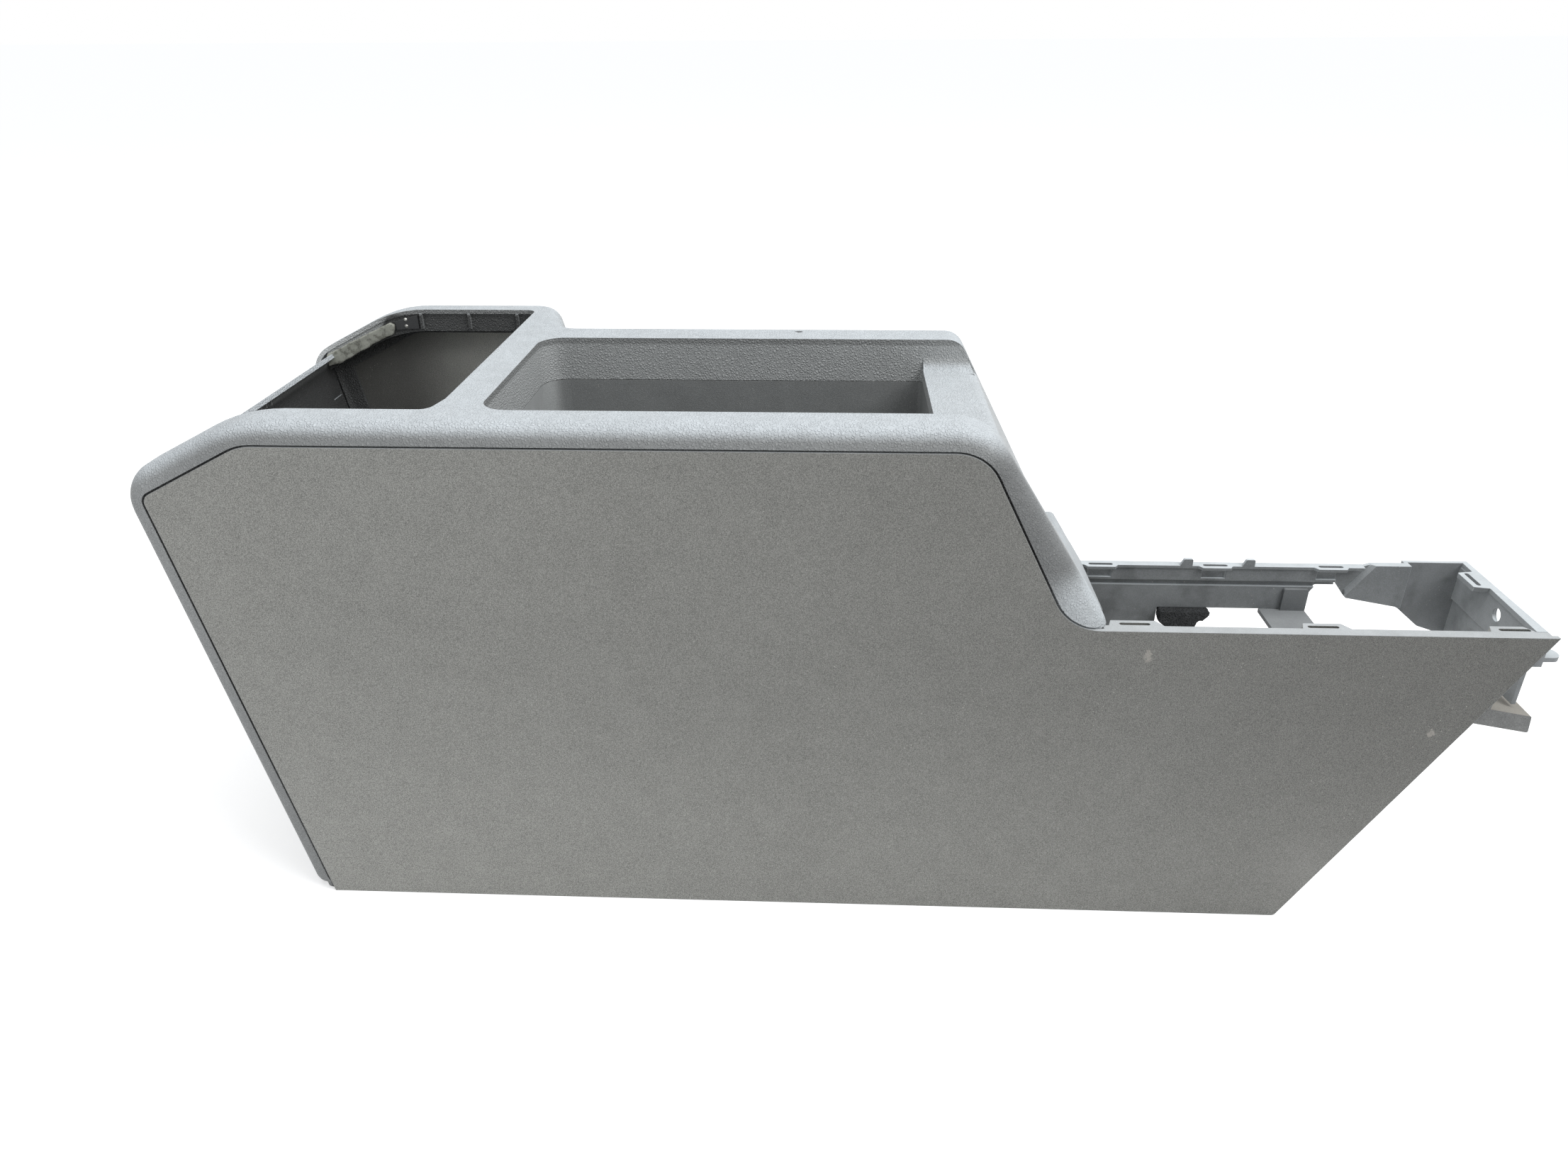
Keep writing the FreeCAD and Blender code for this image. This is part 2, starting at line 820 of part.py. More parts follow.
def make_cover(outer, inner, lap_form, flange_form):
    """Top cover: rolled rims, divider, saddle, front rails and rear legs, one moulding."""
    below = 0.0 - size.over
    through = size.rear_width + 2 * size.over
    shell = less("cover_shell", outer, inner)
    collar_block = prism("collar_block", "XY_Plane", size.collar_bottom,
                         bin_opening(size.cover_wall), size.top_height - size.collar_bottom)
    collar = shared("cover_collar", collar_block, outer)
    set_back = size.opening_set_back
    flange_low = size.collar_bottom - size.over
    flange_tall = size.top_height - flange_low + size.over
    flange_block = prism("flange_block", "XY_Plane", flange_low,
                         rear_opening(size.flange_wall + set_back, size.flange_start), flange_tall)
    flange_room = prism("flange_room", "XY_Plane", flange_low, rear_opening(set_back, below), flange_tall)
    flange_layer = less("flange_layer", inner, flange_form)
    flange = less("cover_flange", shared("flange_band", flange_layer, flange_block), flange_room)
    near_end = [(size.beak + size.over, size.flange_height + size.seam_gap, 0.0),
                (size.beak + size.over, below, 0.0)]
    near_tool = prism("near_panel_room", "XZ_Plane", 0.0 - size.over,
                      near_seam(size.seam_gap, below, near_end), size.over + size.panel_wall)
    far_tool = prism("far_panel_room", "XZ_Plane", far_zone_start() - size.seam_gap,
                     far_seam(size.seam_gap, below), through)
    wall_tool = prism("closing_wall_room", "XZ_Plane", size.channel_width,
                      closing_wall(size.seam_gap, below), through)
    rear_tool = prism("rear_opening_room", "XY_Plane", below, rear_opening(0.0, below),
                      size.top_height + 2 * size.over)
    bin_tool = prism("bin_opening_room", "XY_Plane", size.collar_bottom - size.over,
                     bin_opening(0.0), 3 * size.over)
    channel_tool = prism("channel_room", "XY_Plane", below,
                         box_outline(size.bin_front, size.beak, size.panel_wall, size.channel_width),
                         size.flange_height + size.over)
    trimmed = less("cover_trimmed", shell, near_tool, far_tool, wall_tool, channel_tool)
    whole = joined("cover_whole", trimmed, collar, flange, make_cove())
    holes = [
        rod("rivet_hole", flange_face() - 1, across, up, size.rivet_shank + size.screw_slack, size.flange_wall + 2)
        for across, up in rivet_places()
    ]
    cover = less("cover_open", whole, rear_tool, bin_tool, *holes)
    layer = less("lap_layer", inner, lap_form)
    lap_end = [(size.beak, size.flange_height + size.lap_overlap, 0.0), (size.beak, 0.0, 0.0)]
    near_ring = prism("near_lap_ring", "XZ_Plane", 0.0,
                      near_seam(size.lap_overlap, 0.0, lap_end), size.panel_wall + size.lap_wall)
    lap_hole_end = [(size.beak, size.flange_height - size.lap_width, 0.0), (size.beak, below, 0.0)]
    near_hole = prism("near_lap_hole", "XZ_Plane", 0.0,
                      near_seam(0.0 - size.lap_width, below, lap_hole_end), size.lip_wide)
    near_lap = less("near_lap", shared("near_lap_band", layer, near_ring), near_hole)
    far_start = far_zone_start() - size.lap_overlap
    far_ring = prism("far_lap_ring", "XZ_Plane", far_start, far_seam(size.lap_overlap, 0.0), through)
    far_hole = prism("far_lap_hole", "XZ_Plane", far_start - 1, far_seam(0.0 - size.lap_width, below), through)
    far_lap = less("far_lap", shared("far_lap_band", layer, far_ring), far_hole)
    ribs = [snap_rib(number) for number in range(3)]
    bosses = [tub_boss(across, side) for across, side in tub_screw_places()]
    return joined("upper_cover_shape", cover, near_lap, far_lap, *ribs, *bosses)


def make_cove():
    """Hollow rounding in the corner between the saddle and the driver side rim."""
    body = new_body("saddle_cove")
    radius = size.saddle_far_round
    wall = far_bin_edge()
    ledge = size.ledge_height
    block = box_outline(wall - radius, wall + 1, ledge - 1, ledge + radius)
    pad(body, "YZ_Plane", size.bin_front, [block], size.over * 3)
    pocket(body, "YZ_Plane", size.bin_front, [], size.over * 3,
           circles=[(wall - radius, ledge + radius, 2 * radius)])
    room = prism("cove_room", "XZ_Plane", wall - 2 * radius,
                 body_profile(size.cove_inset, size.face_angle, size.face_corner, 0.0, 0.0), 3 * radius)
    return shared("cove", body, room)


def snap_rib(number):
    """Small upright rib on the driver side flange of the rear opening."""
    start = size.snap_rib_first + number * size.snap_rib_pitch
    top = size.top_height - size.cover_wall
    face = flange_face()
    wide = box_outline(start, start + size.snap_rib_wide, face - size.snap_rib_deep, face)
    return prism("snap_rib_%d" % number, "XY_Plane", top - size.snap_rib_tall, wide, size.snap_rib_tall)


def tub_screw_places():
    """Station and side of each screw that holds the tub."""
    return [
        (size.tub_ear_first + step * size.tub_ear_pitch, side)
        for step in range(2)
        for side in (size.tub_near_screw, size.tub_far_screw)
    ]


def tub_boss(across, side):
    """Screw boss under the top of the cover."""
    body = new_body("tub_boss")
    low = size.ledge_height - size.cover_wall
    half = size.boss_size / 2
    corners = box_outline(across - half, across + half, side - half, side + half, half - 0.5)
    pad(body, "XY_Plane", low, [corners], size.top_height - size.cover_wall - low)
    pocket(body, "XY_Plane", low, [], size.screw_long,
           circles=[(across, side, size.screw_shank + size.screw_slack)])
    return body


def make_passenger_panel():
    """Flat passenger side panel with the slotted lip of the channel."""
    body = new_body("passenger_side_panel")
    end = [(size.beak, size.flange_height, 0.0), (size.toe, 0.0, size.toe_round)]
    pad(body, "XZ_Plane", 0.0, [near_seam(0.0, 0.0, end)], size.panel_wall)
    lip_low = size.flange_height - size.lip_thick
    lip_end = size.beak - size.lip_thick
    lip = box_outline(size.lip_start, lip_end, 0.0, size.lip_wide)
    pad(body, "XY_Plane", lip_low, [lip], size.lip_thick)
    centres = spread(size.near_slot_first, size.near_slot_last)
    reaches = [
        (size.near_boss_1_back, size.near_boss_1_ahead),
        (size.near_boss_2_back, size.near_boss_2_ahead),
        (size.near_boss_3_back, size.near_boss_3_ahead),
    ]
    for centre, (back, ahead) in zip(centres, reaches):
        boss = [
            (centre - back, size.panel_wall / 2, 0.0),
            (centre + ahead, size.panel_wall / 2, 0.0),
            (centre + ahead, size.lip_wide, 0.0),
            (centre + ahead - size.boss_slant, size.near_boss_wide, 1.0),
            (centre - back + size.boss_slant / 2, size.near_boss_wide, 1.0),
            (centre - back, size.lip_wide, 0.0),
        ]
        pad(body, "XY_Plane", size.flange_height - size.boss_deep, [boss], size.boss_deep)
    half = size.near_slot_long / 2
    slots = [
        slot_outline(centre - half, centre + half, size.near_slot_side, along=True) for centre in centres
    ]
    pocket(body, "XY_Plane", size.flange_height - size.boss_deep, slots, size.boss_deep)
    for step in range(4):
        start = size.panel_rib_first + step * size.panel_rib_pitch
        rib = box_outline(start, start + size.panel_rib_wide, size.panel_rib_foot, size.panel_rib_top)
        pad(body, "XZ_Plane", size.panel_wall, [rib], size.panel_rib_deep)
    lean = (size.beak - size.toe) / size.flange_height
    low = size.nib_height - size.nib_long / 2
    high = size.nib_height + size.nib_long / 2
    nib = [
        (size.toe + low * lean - size.nib_long, low, 0.0),
        (size.toe + low * lean + size.nib_proud, low, 0.0),
        (size.toe + high * lean + size.nib_proud, high, 0.0),
        (size.toe + high * lean - size.nib_long, high, 0.0),
    ]
    pad(body, "XZ_Plane", size.panel_wall, [nib], size.lap_wall)
    pocket(body, "XZ_Plane", size.screw_skin, [], size.panel_wall,
           circles=[(across, up, pilot_size()) for across, up in foot_screw_places()])
    keep(body, "passenger_side_panel")


def spread(first, last):
    """Stations of three slots, the middle one halfway."""
    return [first, (first + last) / 2, last]


def slot_outline(start, end, side, along):
    """Slot with round ends, along the station or along the side."""
    half = size.slot_wide / 2
    radius = half - 0.02
    if along:
        return box_outline(start, end, side - half, side + half, radius)
    return box_outline(side - half, side + half, start, end, radius)


def pilot_size():
    """Hole that a self-tapping screw cuts into."""
    return size.screw_shank + size.screw_slack


def make_driver_panel(outer, inner):
    """Stepped driver side panel, with the wall that closes the front below the slope."""
    shell = less("driver_shell", outer, inner)
    below = 0.0 - size.over
    side_zone = prism("driver_side_zone", "XZ_Plane", far_zone_start(), far_seam(0.0, below), size.rear_width)
    wall_zone = prism("driver_wall_zone", "XZ_Plane", size.channel_width, closing_wall(0.0, below), size.rear_width)
    wall = shared("driver_wall", shell, joined("driver_zone", side_zone, wall_zone))
    ribs = []
    places = [(size.rear_width, size.driver_rib_rear + step * size.driver_rib_rear_pitch) for step in range(2)]
    places += [(size.bin_width, size.driver_rib_bin + step * size.panel_rib_pitch) for step in range(2)]
    for side, start in places:
        outline = box_outline(start, start + size.panel_rib_wide, size.panel_rib_foot, size.driver_rib_top)
        inner_side = side - size.cover_wall - size.panel_rib_deep
        ribs.append(prism("driver_rib", "XZ_Plane", inner_side, outline, size.panel_rib_deep + 1))
    keep(joined("driver_side_panel_shape", wall, *ribs), "driver_side_panel")


def make_rear_panel():
    """Rear panel between the legs, curled over at the top into the bare edge of the rear opening."""
    body = new_body("rear_panel")
    near = size.roll_radius + size.fit_gap
    wide = size.rear_width - 2 * near
    outside = size.rear_inset
    inside = size.rear_inset + size.rear_wall
    turn = 90 + size.rear_lean - size.slope_angle
    reach = (size.rear_corner - outside) * tan(turn / 2) + size.rear_lip
    outer_corner = rear_vertex(outside)
    inner_corner = rear_vertex(inside)
    lip_end = outer_corner[0] + reach * cos(size.slope_angle)
    inner_end = lip_end + size.rear_wall * sin(size.slope_angle)
    corners = [
        (size.rear_foot + outside / cos(size.rear_lean), 0.0, 0.0),
        (outer_corner[0], outer_corner[1], size.rear_corner - outside),
        (lip_end, slope_line(outside, lip_end), 0.0),
        (inner_end, slope_line(inside, inner_end), 0.0),
        (inner_corner[0], inner_corner[1], size.rear_corner - inside),
        (size.rear_foot + inside / cos(size.rear_lean), 0.0, 0.0),
    ]
    pad(body, "XZ_Plane", near, [corners], wide)
    lean = tan(size.rear_lean)
    face = size.rear_foot + inside / cos(size.rear_lean)
    low = size.rear_rib_foot
    high = size.rear_rib_top
    rib = [
        (face - low * lean - 1, low, 0.0),
        (face - low * lean + size.rear_rib_deep, low, 0.0),
        (face - high * lean + size.rear_rib_deep, high, 0.0),
        (face - high * lean - 1, high, 0.0),
    ]
    for step in range(3):
        side = near + wide / 2 + (step - 1) * size.rear_rib_pitch - size.rear_rib_wide / 2
        pad(body, "XZ_Plane", side, [rib], size.rear_rib_wide)
    seat = size.rear_foot + size.cover_wall / cos(size.rear_lean)
    deep = size.rear_inset - size.cover_wall + 1
    band = [
        (seat, 0.0, 0.0),
        (seat + deep, 0.0, 0.0),
        (seat + deep - size.rear_band_top * lean, size.rear_band_top, 0.0),
        (seat - size.rear_band_top * lean, size.rear_band_top, 0.0),
    ]
    for side in (near, size.rear_width - size.near_rim):
        pad(body, "XZ_Plane", side, [band], size.near_rim - near)
    for number in range(3):
        side = size.rear_tooth_first + number * size.rear_tooth_pitch
        pad(body, "XZ_Plane", side, [rear_tooth(inside)], size.rear_tooth_wide)
    room = box_outline(size.rear_notch, size.rear_notch + size.over,
                       size.rear_band_top, size.top_height)
    reach = size.near_rim + size.rear_notch_wide - near
    for side in (near, far_rear_edge() - size.rear_notch_wide):
        pocket(body, "XZ_Plane", side, [room], reach)
    keep(body, "rear_panel")


def rear_tooth(inset):
    """Outline of one small rib under the curled edge of the rear panel."""
    start = size.rear_notch
    end = start + 2 * size.rear_tooth_wide
    top = slope_line(inset - 1, start)
    return [
        (start, top - 3 * size.rear_tooth_wide, 0.0),
        (end, top - 2 * size.rear_tooth_wide, 0.0),
        (end, slope_line(inset - 1, end), 0.0),
        (start, top, 0.0),
    ]


def tub_step(body, top, outline, deep, draft, cut):
    """Adds or takes away one step of the tub, downwards from a height."""
    sketch = sketch_on(body, "XY_Plane", top)
    draw_outline(sketch, outline)
    kind = "Pocket" if cut else "Pad"
    feature = body.newObject("PartDesign::" + kind, "tub_step")
    feature.Profile = sketch
    feature.Length = float(deep)
    bind(feature, "Length", deep)
    feature.Reversed = not cut
    if float(draft):
        feature.TaperAngle = float(draft)
        bind(feature, "TaperAngle", draft)
    checked(feature)


def round_floor(body, height, radius):
    """Rounds the edges that lie at one height all along."""
    level = float(height)

    def flat(edge):
        box = edge.BoundBox
        return abs(box.ZMin - level) < 0.01 and abs(box.ZMax - level) < 0.01

    round_edges(body, flat, radius)


def make_tub():
    """Storage tub below the bin opening: its rim holds the collar, its walls run on flush with it."""
    body = new_body("bin_tub")
    top = size.ledge_height - size.cover_wall
    ledge = size.collar_bottom - size.fit_gap
    room = size.cover_wall + size.fit_gap
    grow = room + size.tub_wall
    rim_low = ledge - size.tub_wall
    draft = 0 - size.tub_draft
    tub_step(body, top, bin_opening(grow), top - rim_low, 0.0, cut=False)
    tub_step(body, rim_low, bin_opening(size.tub_wall), rim_low - top + size.tub_depth, draft, cut=False)
    round_floor(body, top - size.tub_depth, size.tub_foot_round)
    for across, side in tub_screw_places():
        half = size.tub_ear_wide / 2
        near_side = float(side) < float(size.near_rim)
        wall = size.near_rim - grow + 1 if near_side else far_bin_edge() + grow - 1
        reach = side - half / 2 if near_side else side + half / 2
        low, high = (reach, wall) if near_side else (wall, reach)
        ear = box_outline(across - half, across + half, low, high)
        pad(body, "XY_Plane", top - size.tub_ear_thick, [ear], size.tub_ear_thick)
    tub_step(body, top, bin_opening(room), top - ledge, 0.0, cut=True)
    tub_step(body, ledge, bin_opening(0.0), ledge - top + size.tub_depth - size.tub_wall, draft, cut=True)
    pocket(body, "XY_Plane", top - size.tub_ear_thick, [], size.tub_ear_thick,
           circles=[(across, side, pilot_size()) for across, side in tub_screw_places()])
    keep(body, "bin_tub")


def make_channel_rail():
    """Driver side rail of the channel: slotted lip, web, shadow groove and lower band."""
    body = new_body("channel_rail")
    outer = size.channel_width
    start = front_line(size.face_angle, size.flange_height)
    lip_low = size.flange_height - size.rail_lip_thick
    section = [
        (outer, size.flange_height, 0.0),
        (outer - size.rail_lip, size.flange_height, 0.0),
        (outer - size.rail_lip, lip_low, 0.0),
        (outer - size.rail_web, lip_low, 0.0),
        (outer - size.rail_web, size.rail_groove_top, 0.0),
        (outer - size.rail_groove_wall, size.rail_groove_top, 0.0),
        (outer - size.rail_groove_wall, size.rail_band_top, 0.0),
        (outer - size.rail_band, size.rail_band_top, 0.0),
        (outer - size.rail_band, size.rail_bottom, 0.0),
        (outer, size.rail_bottom, 0.0),
    ]
    pad(body, "YZ_Plane", start, [section], size.rail_front - start)
    deep = box_outline(start, size.rail_deep_end, size.rail_deep_bottom, size.rail_bottom + 1)
    pad(body, "XZ_Plane", outer - size.rail_band, [deep], size.rail_band)
    centres = spread(size.far_slot_first, size.far_slot_last)
    for centre in centres:
        boss = [
            (centre - size.far_boss_half, outer - size.rail_groove_wall, 0.0),
            (centre - size.far_boss_half, outer - size.rail_lip, 0.0),
            (centre - size.far_boss_half + size.boss_slant / 2, outer - size.far_boss_wide, 0.0),
            (centre + size.far_boss_half - size.boss_slant / 2, outer - size.far_boss_wide, 0.0),
            (centre + size.far_boss_half, outer - size.rail_lip, 0.0),
            (centre + size.far_boss_half, outer - size.rail_groove_wall, 0.0),
        ]
        pad(body, "XY_Plane", lip_low, [boss], size.rail_lip_thick)
    half = size.far_slot_long / 2
    slots = [
        slot_outline(centre - half, centre + half, size.far_slot_side, along=True) for centre in centres
    ]
    pocket(body, "XY_Plane", size.flange_height - size.boss_deep, slots, size.boss_deep)
    for begin in (centres[1] - size.post_back, centres[1] + size.post_ahead):
        post = [
            (begin, size.flange_height - 1, 0.0),
            (begin + size.post_long, size.flange_height - 1, 0.0),
            (begin + size.post_long, size.flange_height + size.post_tall, 1.0),
            (begin + size.post_long / 3, size.flange_height + size.post_tall, 1.0),
        ]
        pad(body, "XZ_Plane", outer - size.rail_lip, [post], size.post_thick)
    tail = [
        (size.rail_band_end, size.rail_bottom - 5, 0.0),
        (size.rail_band_end + 1, size.rail_end_turn, 2.0),
        (size.rail_band_end + 4, size.rail_end_low, 2.0),
        (size.rail_web_end, size.rail_end_low, 0.0),
        (size.rail_web_end - 1, lip_low, 0.0),
        (size.rail_front + 5, lip_low, 0.0),
        (size.rail_front + 5, size.rail_bottom - 5, 0.0),
    ]
    pocket(body, "XZ_Plane", outer - size.far_boss_wide - 1, [tail], size.far_boss_wide + 2)
    keep(body, "channel_rail")


def make_wing(body):
    """Adds the wing: flat wall beside the channel, raised face with a chamfered rear edge, step and far wall."""
    wall = size.frame_wall
    near = size.channel_width
    top = size.flange_height
    behind_lip = top - size.rail_lip_thick
    wing = [
        (size.wing_rear, size.wing_tongue_low, 1.0),
        (size.wing_tongue_end, size.wing_tongue_low, 0.0),
        (size.wing_corner, size.wing_low_rear, 0.0),
        (size.wing_jog + wall, size.wing_low_jog, 0.0),
        (size.wing_jog + wall, top, 0.0),
        (size.wing_start, top, 1.0),
        (size.rail_front + 0.6, behind_lip, 0.0),
        (size.wing_rear, behind_lip, 1.0),
    ]
    pad(body, "XZ_Plane", near, [wing], wall)
    raised = [
        (size.wing_corner, size.wing_low_rear, 0.0),
        (size.wing_jog + wall, size.wing_low_jog, 0.0),
        (size.wing_jog + wall, top, 0.0),
        (size.wing_start, top, 1.0),
        (size.wing_top_rear + 2 * wall, behind_lip, 0.0),
        (size.wing_corner - 1, size.wing_step_high, 0.0),
    ]
    pad(body, "XZ_Plane", near - size.wing_proud, [raised], size.wing_proud)
    rear_edge = Vector(float(size.wing_top_rear + 2 * wall), 0, float(behind_lip))
    step = Vector(float(size.wing_corner - 1), 0, float(size.wing_step_high))

    def slanted(edge):
        ends = [Vector(vertex.X, 0, vertex.Z) for vertex in edge.Vertexes]
        on_front = abs(middle_of(edge).y - float(near - size.wing_proud)) < 0.01
        return on_front and all(min(end.distanceToPoint(mark) for mark in (rear_edge, step)) < 0.1 for end in ends)

    bevel_edges(body, slanted, size.wing_proud - 0.1)
    outer = [
        (size.wing_jog, size.wing_low_jog, 0.0),
        (size.wing_low_turn, size.wing_low_front, 4.0),
        (size.cross_front - wall, size.cross_bottom, 0.0),
        (size.cross_front, size.cross_bottom, 0.0),
        (size.cross_front, top, 0.0),
        (size.wing_jog, top, 0.0),
    ]
    pad(body, "XZ_Plane", size.wing_width - wall, [outer], wall)
    jog = box_outline(size.wing_jog, size.wing_jog + wall, size.wing_low_jog, top)
    pad(body, "XZ_Plane", near - size.wing_proud, [jog], size.wing_width - near + size.wing_proud)


def bevel_edges(body, wanted, width):
    """Cuts a flat bevel along the edges of the body's last shape that pass the test."""
    base = body.Tip
    names = ["Edge%d" % (n + 1) for n, edge in enumerate(base.Shape.Edges) if wanted(edge)]
    if not names:
        raise RuntimeError("%s has no such edge" % body.Label)
    feature = body.newObject("PartDesign::Chamfer", body.Label + "_bevel")
    feature.Base = (base, names)
    feature.Size = float(width)
    bind(feature, "Size", width)
    return checked(feature)


def make_front_frame():
    """Front frame: wing beside the channel, cross wall with its fixing hole, gusset and tongue."""
    body = new_body("front_frame")
    wall = size.frame_wall
    top = size.flange_height
    front = size.cross_front
    lip_low = top - size.lip_thick
    make_wing(body)
    low_wall = box_outline(front - wall, front, size.cross_near, size.wing_width)
    pad(body, "XY_Plane", size.cross_bottom, [low_wall], lip_low - size.cross_bottom)
    near_wall = box_outline(front - wall, front, size.panel_wall, size.cross_near + 1)
    pad(body, "XY_Plane", size.cross_near_top, [near_wall], lip_low - size.cross_near_top)
    thick_wall = box_outline(front - size.cross_thick, front, size.cross_near, size.wing_width)
    pad(body, "XY_Plane", size.cross_step, [thick_wall], lip_low - size.cross_step)
    lip_near = size.lip_wide + size.fit_gap
    lip = [
        (front - size.cross_lip, lip_near, 0.0),
        (front, lip_near, 0.0),
        (front, size.wing_width, 0.0),
        (front - size.cross_lip_far, size.wing_width, 0.0),
    ]
    pad(body, "XY_Plane", lip_low, [lip], size.lip_thick)
    boss = [
        (front - wall, size.cross_boss_near, 0.0),
        (front - wall, size.cross_boss_far, 0.0),
        (size.cross_boss_back, size.cross_boss_far - size.boss_slant / 2, 1.0),
        (size.cross_boss_back, size.cross_boss_near + size.boss_slant / 2, 1.0),
    ]
    pad(body, "XY_Plane", lip_low, [boss], size.lip_thick)
    half = size.cross_slot_long / 2
    slot = slot_outline(size.cross_slot_side - half, size.cross_slot_side + half, size.cross_slot_at, along=False)
    pocket(body, "XY_Plane", lip_low, [slot], size.lip_thick)
    gusset = [
        (size.gusset_back, size.gusset_bottom, 3.0),
        (size.gusset_foot, size.gusset_bottom, 0.0),
        (size.gusset_head, size.cross_near_top, 0.0),
        (front, size.cross_near_top, 0.0),
        (front, top - size.boss_deep - 1, 0.0),
        (size.gusset_back + size.boss_deep, top - size.boss_deep - 1, 2.0),
    ]
    pad(body, "XZ_Plane", size.panel_wall, [gusset], wall)
    round_end = size.tongue_wide / 2 - 0.5
    tongue = [
        (front - wall, size.panel_wall, 0.0),
        (front + size.tongue_long, size.panel_wall, round_end),
        (front + size.tongue_long, size.panel_wall + size.tongue_wide, round_end),
        (front - wall, size.panel_wall + size.tongue_wide, 0.0),
    ]
    pad(body, "XY_Plane", size.tongue_top - size.tongue_thick, [tongue], size.tongue_thick)
    pocket(body, "YZ_Plane", front - size.cross_thick, [], size.cross_thick,
           circles=[(size.fixing_side, size.fixing_height, size.fixing_hole)])
    pocket(body, "YZ_Plane", front - size.cross_thick + size.fixing_skin, [], size.cross_thick,
           circles=[(size.fixing_side, size.fixing_height, size.fixing_bore)])
    pocket(body, "XZ_Plane", size.panel_wall, [], wall,
           circles=[(across, up, pilot_size()) for across, up in foot_screw_places()])
    keep(body, "front_frame")


def foot_screw_places():
    """Station and height of the two screws through the foot bracket's ear."""
    return [
        (size.foot_screw_first + step * size.foot_screw_pitch, size.foot_screw_height)
        for step in range(2)
    ]


def make_foot_bracket():
    """Foot bracket: hollow sloping foot with a screw hole, and the ear that carries it."""
    body = new_body("foot_bracket")
    start = size.panel_wall + size.frame_wall
    slope = (size.foot_high - size.foot_low_tip) / (size.foot_tip - size.foot_back)
    block = [
        (size.foot_back, size.foot_high - size.foot_deep, 0.0),
        (size.foot_tip + 1, size.foot_low_tip - size.foot_deep, 1.0),
        (size.foot_tip, size.foot_low_tip, 1.0),
        (size.foot_back, size.foot_high, 0.0),
    ]
    pad(body, "XZ_Plane", start, [block], size.foot_wide)
    wall = size.foot_wall
    hollow = [
        (size.foot_back + wall, size.foot_high - 2 * size.foot_deep, 0.0),
        (size.foot_tip - wall, size.foot_low_tip - 2 * size.foot_deep, 0.0),
        (size.foot_tip - wall, size.foot_low_tip - wall, 0.0),
        (size.foot_back + wall, size.foot_high - wall - slope * wall, 0.0),
    ]
    pocket(body, "XZ_Plane", start + wall, [hollow], size.foot_wide - 2 * wall)
    ear = [
        (size.foot_ear_back, size.foot_ear_low, 3.0),
        (size.foot_back + 1, size.foot_high - size.foot_deep + 1, 0.0),
        (size.foot_back + size.foot_deep, size.foot_ear_low, 0.0),
        (size.foot_ear_head, size.foot_ear_top, 2.0),
        (size.foot_ear_back, size.foot_ear_top, 3.0),
    ]
    pad(body, "XZ_Plane", start, [ear], wall)
    across, side = foot_hole_place()
    half = size.foot_boss / 2
    boss = box_outline(across - half, across + half, side - half, side + half, half - 0.5)
    low = size.foot_low_tip - size.foot_deep + wall
    pad(body, "XY_Plane", low, [boss], size.foot_deep)
    pocket(body, "XY_Plane", low, [], 2 * size.foot_deep, circles=[(across, side, size.foot_hole)])
    pocket(body, "XZ_Plane", start, [], wall,
           circles=[(across, up, pilot_size()) for across, up in foot_screw_places()])
    keep(body, "foot_bracket")


def foot_hole_place():
    """Station and side of the screw hole down through the foot."""
    return size.foot_hole_at, size.panel_wall + size.frame_wall + size.foot_wide / 2 + 1


def make_strap():
    """Strap that ties the rail to the passenger side panel, with upturned ends."""
    body = new_body("channel_strap")
    near = size.panel_wall
    far = size.channel_width - size.rail_band
    low = size.rail_bottom - size.strap_thick
    plate = box_outline(size.strap_start, size.strap_end, near, far)
    pad(body, "XY_Plane", low, [plate], size.strap_thick)
    tab = box_outline(size.strap_tab_start, size.strap_end, low, size.rail_bottom + size.strap_tab_tall, 1.5)
    for side in (near, far - size.strap_thick):
        pad(body, "XZ_Plane", side, [tab], size.strap_thick)
    keep(body, "channel_strap")


def make_apron():
    """Hollow plate on the foot of the front slope, flush with the rolled rail beside it."""
    body = new_body("apron_plate")
    low = size.flange_height
    high = size.apron_top
    near = size.near_rim
    wide = size.channel_width - near
    wall = size.apron_wall
    block = [
        (front_line(size.face_angle, low), low, 0.0),
        (front_line(size.rail_angle, low), low, 0.0),
        (front_line(size.rail_angle, high), high, size.apron_round),
        (front_line(size.face_angle, high), high, 0.0),
    ]
    pad(body, "XZ_Plane", near, [block], wide)
    thick = wall / sin(size.rail_angle)
    hollow = [
        (front_line(size.face_angle, low) - wall, low - wall, 0.0),
        (front_line(size.rail_angle, low) - thick, low - wall, 0.0),
        (front_line(size.rail_angle, high) - thick - 2 * wall, high - wall, 1.0),
        (front_line(size.face_angle, high) - 2 * wall, high - wall, 0.0),
    ]
    pocket(body, "XZ_Plane", near + wall, [hollow], wide - 2 * wall)
    notch = [
        (front_line(size.rail_angle, size.apron_notch_low) - size.apron_notch_deep, size.apron_notch_low, 0.0),
        (front_line(size.rail_angle, size.apron_notch_low) + 1, size.apron_notch_low, 0.0),
        (front_line(size.rail_angle, size.apron_notch_high) + 1, size.apron_notch_high, 0.0),
        (front_line(size.rail_angle, size.apron_notch_high) - size.apron_notch_deep, size.apron_notch_high, 0.0),
    ]
    pocket(body, "XZ_Plane", size.channel_width - wall, [notch], wall)
    keep(body, "apron_plate")


